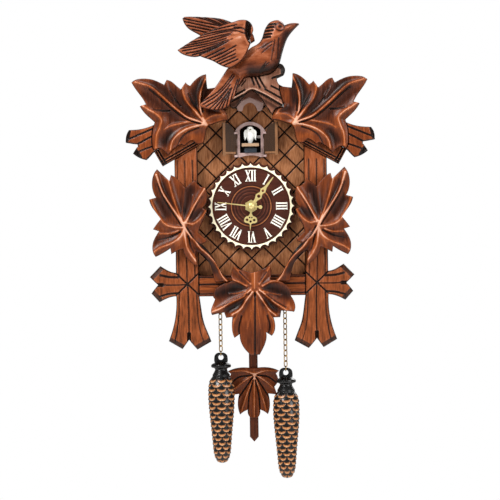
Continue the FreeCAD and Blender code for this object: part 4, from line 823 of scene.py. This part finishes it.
TAIL_FEATHERS = feathers(1.5, 0.95, -0.8, [
    [(-47.2, 3.7), (-29.1, 15.4), (-13.8, 34.2)],
    [(-46.3, 1.1), (-33.2, 9.1), (-21, 21.3), (-9.8, 37.2)],
    [(-43.3, -1), (-31.2, 6.6), (-19, 20.3)], [(-39.3, -2.8), (-30.2, 5.4), (-21.1, 16.3)],
    [(-35.3, -3.5), (-28.2, 4.4), (-21.1, 13.3)], [(-31.3, -4), (-25.6, 5.4), (-19.1, 16.3)],
    [(-27.7, -3.2), (-23.6, 5.3), (-20.1, 12.3)], [(-23.3, -2.1), (-21.4, 6.3), (-17.6, 17.3)],
    [(-19.5, 1.3), (-17.1, 10.3), (-11.9, 25.2)], [(-14.1, 12.2), (-11, 22.2), (-6.8, 33.1)]])
BODY_CUTS = feathers(2.0, 1.4, -2.0, [
    [(15.8, 79.4), (25.8, 79.7)], [(15.2, 76.2), (24.4, 76.5)], [(14.3, 72.8), (23.3, 73.1)],
    [(13.3, 69.4), (22.1, 69.7)], [(12, 66.5), (21.1, 66.7)]]) + feathers(1.0, 0.9, -0.5, [
    [(25.6, 63.7), (23.9, 53.7), (21.9, 43.7)], [(23.2, 62.3), (14.5, 57.2), (7.5, 54.9)],
    [(22.5, 58.7), (16.5, 54.2), (12.4, 50.8)], [(19.3, 41.1), (14.2, 36.6), (11.2, 31.9)],
    [(16.7, 41.8), (12.8, 36.8), (10.8, 33.5)], [(35.8, 78.1), (43.8, 79.4), (50.8, 79.9)],
    [(29.6, 65.6), (28.9, 55.6), (28.4, 45.6)]]) + [
    (2.2, 2.4, 2.4, 0.55, 0.7, [(35.8, 75.5), (31.7, 70.6), (21.6, 66.1), (10.6, 61.9)]),
    (1.6, 4.0, 4.0, 0.30, 0.7, [(7.4, 49.9), (-2.7, 44.1), (-12.7, 40.2)]),
]
# Painted shade down the side of the breast, under the belly and low on the body, painted light on the flank,
# the neck and the lower body, and the eye's dark ring and pupil
BODY_SHADE = [
    (-0.35, 6, [(-4.7, 40.1), (7.4, 45.9), (15.5, 55.8)]),
    (-0.85, 5, [(38.7, 69.5), (34.5, 57.5), (31.3, 43.6), (28.2, 37.6)]),
    (-0.7, 3.5, [(27.2, 36.6), (15.2, 33.2), (1.2, 32)]),
    (-1.1, 0.8, [(30.9, 81), (35, 78.5), (34.8, 74.5), (31.1, 72.8), (27.4, 74.2), (26.8, 78.1),
     (29.2, 80.6)]),
    (-1.6, 1.3, [(30.4, 77), (31.4, 77)]),
    (-0.45, 6, [(4.2, 36), (15.2, 35.8)]),
    (0.35, 6, [(5.5, 56.9), (15.4, 47.8)]),
    (0.45, 4, [(21.7, 68.7), (25.8, 74.7)]),
    (0.15, 5, [(-2.6, 46.1), (9.3, 41.9)]),
]


def rounded(radius):
    """Relief of a carved figure: a quarter circle of the given radius, from the edge inwards."""
    return lambda spots, edge: (np.sqrt(radius ** 2 - np.clip(radius - edge, 0, None) ** 2) - radius,
                                np.zeros(len(spots)))


def tail_relief(spots, edge):
    """The tail sinks towards the body."""
    return -0.4 - 2.2 * np.clip((spots[:, 1] - 8) / 24, 0, 1), 0.15 + 0 * edge


def wing_relief(spots, edge):
    """The front wing sinks towards its tip."""
    return -1.2 - 1.8 * np.clip(-(spots[:, 0] + 20) / 50, 0, 1), 0.08 + 0 * edge


body_back, body_front = extents("top_bird")
tail_back, tail_front = body_back + 11.4, body_back + 18.4
carved("bird_body", outlines("top_bird"), body_back, body_front, rounded(13), bird_wood, "carved_wood",
       ("top_bird",), strokes=BODY_CUTS, shades=BODY_SHADE, pitch=0.8, rounding=0.5, rim_tone=-0.2,
       cavity_shading=0.2)
TAIL = [(-22, 36.4), (-32.6, 20.2), (-39.6, 12), (-47.4, 3.8), (-49.4, -0.2), (-44.4, -2.8), (-37.4, -4.2),
        (-30.4, -4.2), (-24, -2.4), (-20.4, 0.2), (-17.6, 5), (-13.8, 12), (-10.6, 20), (-4, 31), (-6, 40),
        (-14, 42)]
carved("bird_tail", [eased(TAIL + TAIL[:1], 4)[:-1]], tail_back, tail_front, tail_relief, bird_wood,
       "carved_wood", strokes=TAIL_FEATHERS, pitch=0.8, rounding=1.2, rim_tone=-0.5)
# Painted light near the wing's root and painted shade across its middle
WING_SHADE = [(0.22, 7.0, [(-10.4, 64.2), (-6.6, 52.1)]), (-0.3, 6.0, [(-28.6, 50.4), (-48.5, 56.7)])]
for title, relief, strokes, shades, pitch, rounding, rim_tone in (
        ("wing_front", wing_relief, FRONT_FEATHERS, WING_SHADE, 0.75, 1.6, -0.4),
        ("wing_back", level(-0.8, -0.05), BACK_FEATHERS, (), 0.8, 1.4, -0.5)):
    node = "top_bird_" + title
    carved("bird_" + title, outlines(node), *extents(node), relief, bird_wood, "carved_wood", (node,),
           strokes=strokes, shades=shades, pitch=pitch, rounding=rounding, rim_tone=rim_tone)


# ---- Dial --------------------------------------------------------------------------------------------
# Scalloped wooden disc under an ivory ring. Inside the ring the wood is turned with fine rings and one
# orange circle, and carries Roman numerals in ivory, their feet towards the middle.
def quads(rows, columns, closed=False):
    """Faces of a grid whose columns run round a ring, and whose rows do too when it is closed."""
    i = np.arange(rows if closed else rows - 1)[:, None]
    j = np.arange(columns)[None, :]
    here, over, right = i * columns, (i + 1) % rows * columns, (j + 1) % columns
    return np.stack([here + j, here + right, over + right, over + j], -1).reshape(-1, 4)


def outward(spots, faces):
    """The faces, turned if the volume they enclose, summed corner by corner, comes out negative."""
    a, b, c, d = (spots[faces[:, k]] for k in range(4))
    volume = (a * np.cross(b, c)).sum() + (a * np.cross(c, d)).sum()
    return faces if volume > 0 else faces[:, ::-1]


def bars(corners, back, front):
    """Flat bars between two depths: eight points and six faces for each set of four (x, z) corners."""
    corners = np.asarray(corners, float)
    base = np.arange(len(corners))[:, None, None] * 8
    flat = np.zeros((*corners.shape[:2], 1))
    low, high = (np.concatenate([corners[..., :1], flat - depth, corners[..., 1:]], -1)
                 for depth in (back, front))
    faces = base + np.array([[0, 1, 2, 3], [7, 6, 5, 4], [4, 5, 1, 0], [5, 6, 2, 1], [6, 7, 3, 2],
                             [7, 4, 0, 3]])
    spots, faces = np.concatenate([low, high], 1).reshape(-1, 3), faces.reshape(-1, 4)
    return spots, outward(spots, faces)


dial_z = (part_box("dial_disc")[0].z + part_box("dial_disc")[1].z) * 500
face_wood = stained("face_wood", along=(14, 14, 1.1), base=-0.08, streak=0.35, gloss=0.34,
                    stain=((0.00, (0.008, 0.002, 0.001)), (0.30, (0.028, 0.007, 0.004)),
                           (0.55, (0.075, 0.018, 0.009)), (0.78, (0.240, 0.075, 0.028)),
                           (1.00, (0.520, 0.220, 0.060))))
face_inner, face_outer, face_front, face_back = 4.3, 39.1, 87.40, 87.02
reach = np.linspace(face_inner, face_outer, 134)
rise, ring_tone = np.full(reach.shape, face_front), np.zeros(reach.shape)
for ring_at, up, shade in ((10.5, 0.22, 0.35), (14.0, 0.22, 0.35), (17.0, 0.22, 0.35), (20.0, 0.12, 1.0)):
    rise += up * np.exp(-((reach - ring_at) / 0.55) ** 2)
    ring_tone += shade * np.exp(-((reach - ring_at) / 0.42) ** 2) - \
        0.45 * np.exp(-((reach - ring_at - 1.1) / 0.5) ** 2)
reach, rise = np.append(reach, [face_outer, face_inner]), np.append(rise, [face_back, face_back])
face_round = 160
angle = np.arange(face_round) * math.tau / face_round
face_spots = np.stack([reach[:, None] * np.cos(angle), -rise[:, None] + 0 * angle,
                       dial_z + reach[:, None] * np.sin(angle)], -1).reshape(-1, 3)
face_quads = outward(face_spots - (0, -87, dial_z), quads(len(reach), face_round, closed=True))
piece("dial_face", face_spots, face_quads, face_wood, "root",
      np.repeat(np.append(ring_tone, [-0.5, -0.5]), face_round))

# Each letter: its advance in mm, its bars as foot x, foot height, head x, head height and width, and the
# x and height of its serifs; heights go from 0 to 1.
LETTERS = {"I": (2.75, [(0, 0, 0, 1, 1.35)], [(0, 0), (0, 1)]),
           "V": (5.2, [(0.1, 0, -1.8, 1, 1.45), (0.1, 0, 1.8, 1, 0.75)], [(-1.8, 1), (1.8, 1)]),
           "X": (5.4, [(1.8, 0, -1.8, 1, 1.45), (-1.8, 0, 1.8, 1, 0.75)],
                 [(-1.8, 0), (1.8, 0), (-1.8, 1), (1.8, 1)])}
numeral_foot, numeral_tall = 25.4, 10.8     # radius at the numerals' feet, and their height
serif_half, serif_thick = 1.15, 0.03        # in mm along the foot, and as a share of the height
corners = []
for hour, word in enumerate(("XII", "I", "II", "III", "IIII", "V", "VI", "VII", "VIII", "IX", "X", "XI")):
    flat, at = [], -sum(LETTERS[letter][0] for letter in word) / 2
    for letter in word:
        advance, strokes, serifs = LETTERS[letter]
        at += advance / 2
        flat += [[(at + x - w / 2, a), (at + x + w / 2, a), (at + y + w / 2, b), (at + y - w / 2, b)]
                 for x, a, y, b, w in strokes]
        flat += [[(at + x - serif_half, v - serif_thick), (at + x + serif_half, v - serif_thick),
                  (at + x + serif_half, v + serif_thick), (at + x - serif_half, v + serif_thick)]
                 for x, v in serifs]
        at += advance / 2
    flat = np.array(flat)
    turn = hour * math.tau / 12
    across, out = flat[..., 0], numeral_foot + numeral_tall * flat[..., 1]
    corners.append(np.stack([out * math.sin(turn) + across * math.cos(turn),
                             dial_z + out * math.cos(turn) - across * math.sin(turn)], -1))


def speckled(title, colour, rough, vary=0.10, size=(5, 5, 5), depth=0.00003, grain=(0.5, 0.5, 0.5), **fixed):
    """A plain finish: its colour drifts a little either way, and fine grain sets roughness and bump."""
    stops = ((0.25, tuple(c * (1 - vary) for c in colour)),
             (0.75, tuple(min(1, c * (1 + vary)) for c in colour)))
    return finish(title, lambda pen: pen.node("ShaderNodeValToRGB", {"Fac": noise(pen, size)}, stops=stops),
                  lambda pen: noise(pen, size, 5) * 0.2 + (rough - 0.1),
                  lambda pen: noise(pen, grain, 3), depth, **fixed)


ivory = speckled("ivory", (0.93, 0.84, 0.60), 0.35, vary=0.05, size=(9, 9, 9), Coat_Weight=0.3)
numeral_paint = speckled("numeral_paint", (0.95, 0.91, 0.80), 0.45, vary=0.04, size=(4, 4, 4))
spots, faces = bars(np.concatenate(corners), 87.25, 87.95)
piece("dial_numerals", spots, faces, numeral_paint, "root", smooth=False)


def ball(centre, radii, rows=24, columns=32):
    """Ellipsoid: a half circle of latitudes turned round, its two poles closed by tiny rings."""
    tilt = np.linspace(-0.4999, 0.4999, rows)[:, None] * math.pi
    turn = np.arange(columns) * math.tau / columns
    spots = np.stack([np.cos(tilt) * np.cos(turn), np.cos(tilt) * np.sin(turn), np.sin(tilt) + 0 * turn], -1)
    spots = spots.reshape(-1, 3) * radii
    faces = outward(spots, quads(rows, columns)).tolist()
    caps = [list(range(columns))[::-1], list(range((rows - 1) * columns, rows * columns))]
    return spots + centre, faces + caps


gold = speckled("hand_gold", (0.72, 0.58, 0.24), 0.32, size=(3, 3, 3), Metallic=0.55, Coat_Weight=0.3)
dress(face_wood, "dial_disc")
dress(ivory, "dial_ring")
dress(gold, "hour_hand", "minute_hand", "second_hand", "bush_nut")
cap, cap_faces = ball((0, -95.6, dial_z), (3.0, 1.5, 3.0))
piece("hub_cap", cap, cap_faces, gold, "seconds")


# ---- Doors and cuckoo --------------------------------------------------------------------------------
# Two little doors stand open at the sides of the doorway: a dark louvred panel in a lighter frame, hung
# on wire pins. Between them a white moulded cuckoo with an olive beak rides on a wooden slide.
door_turn = math.radians(160)
hinge_x, hinge_depth, half_thick = 14.6, 85.2, 0.8


def upright(left, right, low, high):
    """Corners of a bar from left to right and from low to high."""
    return [(left, low), (right, low), (right, high), (left, high)]


def slat(z):
    """Corners of a louvre, shorter where the door's top is arched."""
    return upright(0.4 + 0.9 * max(0, z + 26.5), 11.0, z, z + 1.1)


frame_bars = [upright(11.4, 14.2, -49.0, -15.7), upright(0.6, 11.4, -47.0, -45.0)]
slats = [slat(z) for z in np.arange(-44.0, -17.5, 2.0)]
door_tan = stained("door_tan", along=(1.0, 1.0, 9), base=0.02, streak=0.5, gloss=0.4,
                   stain=((0.00, (0.020, 0.008, 0.003)), (0.30, (0.080, 0.032, 0.012)),
                          (0.55, (0.230, 0.105, 0.045)), (1.00, (0.560, 0.340, 0.180))))
door_dark = stained("door_dark", along=(1.0, 1.0, 8), base=-0.24, streak=0.4, gloss=0.5,
                    stain=((0.00, (0.010, 0.005, 0.002)), (0.40, (0.060, 0.026, 0.011)),
                           (1.00, (0.200, 0.090, 0.040))))
for side, flip in (("left", -1), ("right", 1)):
    for part, shapes, proud, wood in (("frame", frame_bars, 0.34, door_tan),
                                      ("slats", slats, 0.24, door_dark)):
        spots, faces = bars(shapes, 0.0, proud)
        along, off = spots[:, 0].copy(), half_thick - 0.05 - spots[:, 1]
        spots[:, 0] = flip * (hinge_x - along * math.cos(door_turn) - off * math.sin(door_turn))
        spots[:, 1] = -(hinge_depth + along * math.sin(door_turn) - off * math.cos(door_turn))
        piece("door_" + part + "_" + side, spots, outward(spots - spots.mean(0), faces), wood, "door_" + side,
              smooth=False)
dress(door_dark, "door_left", "door_right")

feather_white = speckled("feather_white", (0.86, 0.86, 0.82), 0.35, vary=0.05, size=(3, 3, 3),
                         Coat_Weight=0.3)
beak_olive = speckled("beak_olive", (0.16, 0.15, 0.05), 0.4)
dress(feather_white, "cuckoo_bird")
beak, beak_faces = ball((0.3, -91.4, -22.8), (0.9, 1.0, 0.75))
piece("cuckoo_beak", beak, beak_faces, beak_olive, "cuckoo")
for name, x in (("left", -1.9), ("right", 2.5)):
    eye, eye_faces = ball((x, -90.4, -21.4), (0.45, 0.45, 0.45), 12, 16)
    piece("cuckoo_eye_" + name, eye, eye_faces, beak_olive, "cuckoo")
slide_wood = stained("slide_wood", along=(9, 1.0, 1.0), base=0.20, streak=0.3, gloss=0.4,
                     stain=((0.00, (0.020, 0.008, 0.003)), (0.55, (0.260, 0.150, 0.085)),
                            (1.00, (0.560, 0.400, 0.260))))
spots, faces = bars([upright(-8.6, 8.6, -39.7, -36.8)], 77.0, 93.1)
piece("cuckoo_perch", spots, faces, slide_wood, "cuckoo", smooth=False)
spots, faces = bars([upright(6.4, 12.4, -31.0, -28.2)], 75.4, 78.0)
piece("doorway_peg", spots, faces, feather_white, "root", smooth=False)
dress(speckled("mechanism_blue", (0.030, 0.042, 0.058), 0.35), "cuckoo_chassis", "cuckoo_slide")


# ---- Pendulum ----------------------------------------------------------------------------------------
# Dark wooden stick, pointed at its foot, that hangs on a wire in the case and swings behind the weights'
# chains; a small carved maple leaf is glued near its lower end.
PENDULUM_RIBS = [
    (2.6, 1.6, 1.6, 0.85, 0.8, [(1.1, -272.3), (0.6, -289.8), (0.2, -315.6)]),
    (2.4, 1.4, 1.8, 0.9, 0.8, [(1.1, -272.3), (-9.6, -268.7), (-23.5, -268.9)]),
    (2.4, 1.8, 1.4, 0.9, 0.8, [(1.1, -272.3), (11.8, -268.7), (23.5, -268.9)]),
    (2.4, 1.4, 1.6, 0.9, 0.8, [(1.1, -272.3), (-9.6, -278.9), (-22.5, -288.8)]),
    (2.4, 1.6, 1.4, 0.9, 0.8, [(1.1, -272.3), (11.8, -278.9), (22.5, -288.8)]),
    (2.4, 1.4, 1.4, 0.75, 0.8, [(0.6, -275.3), (-6.4, -290.8), (-12.8, -309.4)]),
    (2.4, 1.4, 1.4, 0.75, 0.8, [(1.3, -275.3), (7.5, -290.8), (12.8, -309.4)]),
    (-1.2, 1, 1, -0.9, 0.8, [(-1.5, -273.2), (-15, -274.9), (-22.5, -280.5)]),
    (-1.2, 1, 1, -0.9, 0.8, [(3.6, -273.2), (15, -274.9), (22.5, -280.5)]),
    (-1.2, 1, 1, -0.9, 0.8, [(-0.9, -275.3), (-9.6, -287.7), (-17.1, -298.1)]),
    (-1.2, 1, 1, -0.9, 0.8, [(2.8, -275.3), (10.7, -287.7), (17.1, -298.1)]),
    (-1.2, 1, 1, -0.9, 0.8, [(-0.6, -278.4), (-4.9, -295), (-6.4, -311.5)]),
    (-1.2, 1, 1, -0.9, 0.8, [(1.9, -278.4), (5.4, -295), (6.4, -311.5)]),
]
carved("carved_pendulum_leaf", outlines("pendulum_leaf"), *extents("pendulum_leaf"), dished(2.6, 0.8, 1.4),
       leaf_wood, "carved_wood", ("pendulum_leaf",), body="pendulum", strokes=PENDULUM_RIBS, pitch=0.6,
       rounding=0.9)
dress(stained("stick_wood", along=(1.0, 1.0, 16), base=-0.10, streak=0.5), "pendulum_stick")


# ---- Weights and chains ------------------------------------------------------------------------------
# Pine-cone weights of cast resin: a glossy black eye, collar and neck, then staggered rows of scales
# like tiles, black within and rubbed with copper along their lower rims. They hang on brass chains.
CONE = [(0.05, -9), (5, -9.2), (6.8, -10.5), (9.7, -12), (9.9, -14.6), (7, -15.8), (6.25, -17.6),
        (8.6, -22), (11.8, -27.6), (13.4, -33.6), (13.8, -41), (13.8, -47.4), (13.2, -58), (12, -70.4),
        (10.6, -85), (9.2, -100.6), (7.7, -106.8), (4.8, -111.2), (0.05, -112.7)]
scale_row, scale_rows_from, scales_round, scale_rise = 4.55, -22.5, 7, 1.7
eye_hole, eye_thick, eye_drop = 2.6, 2.8, 4.8
chain_x, chain_depth = 33.0, 62.0


def scaled(turn, drop):
    """Height and tone of the scales. A point in cell (turn, row) lies on the scale of the highest row above
    whose rounded foot reaches down to it; the scale rises evenly to its foot, where it is rubbed pale."""
    row = (scale_rows_from - drop) / scale_row
    height, tone = np.zeros(np.broadcast(turn, drop).shape), np.full(np.broadcast(turn, drop).shape, -1.0)
    for back in (0, 1, 2):
        at = np.floor(row) - back
        fall = row - at
        aside = (turn / math.tau * scales_round + 0.5 * (at % 2)) % 1 - 0.5
        foot = 1.0 + 0.72 * np.sqrt(np.clip(1 - (aside / 0.45) ** 2, 0, 1))
        on = (fall < foot) & (np.abs(aside) < 0.45) & (at >= 0)
        near = np.clip((foot - fall) / 0.80, 0, 1)
        full = np.clip(1 - (aside / 0.45) ** 2, 0, 1)
        height = np.where(on, scale_rise * (0.10 + 0.90 * fall / 1.72), height)
        pale = (1.50 + 0.35 * (near < 0.25)) * (1 - np.clip(2.4 * near - 1.35, 0, 1))
        tone = np.where(on, pale * full ** 0.15 * (near > 0.07) - 1, tone)
    return height, tone


resin = finish("weight_resin",
               lambda pen: pen.node("ShaderNodeValToRGB", {
                   "Fac": pen.node("ShaderNodeAttribute", out="Fac", attribute_name="tone") * 0.5 + 0.5 +
                   (noise(pen, (2, 2, 2), 4) - 0.5) * 0.35},
                   stops=((0.0, (0.004, 0.004, 0.004)), (0.38, (0.010, 0.007, 0.005)),
                          (0.58, (0.110, 0.040, 0.014)), (0.80, (0.480, 0.200, 0.070)),
                          (1.0, (0.820, 0.520, 0.290)))),
               lambda pen: noise(pen, (3, 3, 3), 4) * 0.25 + 0.15,
               lambda pen: noise(pen, (1.2, 1.2, 1.2), 3), 0.0001, Coat_Weight=0.15, Coat_Roughness=0.12,
               Specular_IOR_Level=0.3)


def squared(wave):
    """The wave with flatter tops: its sign times its size to the power 0.6."""
    return np.sign(wave) * np.abs(wave) ** 0.6


rings, columns = 300, 144
line = eased(CONE, 24)
walk = np.append(0, np.cumsum(np.linalg.norm(np.diff(line, axis=0), axis=1)))
stations = np.linspace(0, walk[-1], rings)
cone_r, cone_z = np.interp(stations, walk, line[:, 0]), np.interp(stations, walk, line[:, 1])
turn = np.arange(columns) * math.tau / columns
lift, cone_tone = scaled(turn[None, :], cone_z[:, None])
scaly = np.clip((scale_rows_from - cone_z[:, None]) / 2, 0, 1) * np.clip((cone_z[:, None] + 111.4) / 3, 0, 1)
cone_wide = (cone_r[:, None] - scaly * (scale_rise - lift)).clip(0.04)
cone_tone = np.where(cone_z[:, None] > scale_rows_from, -0.9, cone_tone)
eye_turn = np.arange(48) * math.tau / 48
eye_outer = 4.8 + 2.0 * np.abs(np.cos(eye_turn)) ** 1.5 + 4.6 * np.clip(-np.sin(eye_turn), 0, 1) ** 1.6
loop_turn = np.arange(24)[:, None] * math.tau / 24
eye_r = (eye_hole + eye_outer) / 2 + (eye_outer - eye_hole) / 2 * squared(np.cos(loop_turn))
eye_y = eye_thick / 2 * squared(np.sin(loop_turn)) + 0 * eye_turn
for side, flip in (("left", -1), ("right", 1)):
    node = "weight_" + side
    x, top = flip * chain_x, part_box(node)[1].z * 1000
    aside = turn + flip * 0.2
    cone = np.stack([x + cone_wide * np.cos(aside), -chain_depth + cone_wide * np.sin(aside),
                     top + cone_z[:, None] + 0 * cone_wide], -1).reshape(-1, 3)
    faces = outward(cone - cone.mean(0), quads(rings, columns)).tolist()
    faces += [list(range(columns)), list(range((rings - 1) * columns, rings * columns))[::-1]]
    piece("cone_" + side, cone, faces, resin, node, cone_tone.ravel(), (node,))
    middle = np.array([x, -chain_depth, top - eye_drop])
    eye = middle + np.stack([eye_r * np.cos(eye_turn), eye_y, eye_r * np.sin(eye_turn)], -1).reshape(-1, 3)
    piece("cone_eye_" + side, eye, outward(eye - middle, quads(24, 48, closed=True)), resin, node,
          np.full(len(eye), -0.9))
brass = speckled("antique_brass", (0.50, 0.32, 0.12), 0.30, vary=0.45, size=(2.5, 2.5, 2.5), Metallic=0.9)
dress(brass, "chain_left", "chain_right", "chain_staples")


# ---- Back and movement -------------------------------------------------------------------------------
# What is seen from behind and through the doorway: the quartz movement and its wheels, the cuckoo's
# drive, the speaker, the battery tray and the hanging plate, in moulded plastic and plated steel.
black = speckled("black_plastic", (0.016, 0.016, 0.018), 0.42, vary=0.25, depth=0.00005)
steel = speckled("zinc_steel", (0.58, 0.58, 0.56), 0.30, vary=0.15, size=(4, 4, 1), Metallic=0.95)
wheel_white = speckled("wheel_white", (0.78, 0.77, 0.72), 0.38, vary=0.05)
dress(black, "movement_case", "battery_tray", "battery_lid", "mode_switch", "setting_knob")
dress(speckled("cover_smoke", (0.035, 0.036, 0.040), 0.25, vary=0.2), "movement_cover", "motor_pinion")
dress(steel, "hanger_plate", "back_panel_screws", "pendulum_hanger", "rotor", "cuckoo_motor", "speaker")
dress(wheel_white, "hour_wheel", "intermediate_wheel", "minute_wheel", "seconds_wheel", "third_wheel")
dress(speckled("cell_wrap", (0.05, 0.09, 0.20), 0.30, vary=0.2, size=(8, 8, 8), Coat_Weight=0.5),
      "batteries")
dress(speckled("circuit_green", (0.020, 0.110, 0.045), 0.40, vary=0.35, size=(2, 2, 2)), "circuit_board")
dress(speckled("coil_copper", (0.62, 0.24, 0.09), 0.28, vary=0.25, size=(12, 12, 0.4), Metallic=0.9,
               grain=(9, 9, 0.25), depth=0.00012), "stepper_coil")


size = {"cad_box": [list(c) for c in cad_box], "visual_box": [list(c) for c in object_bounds()]}
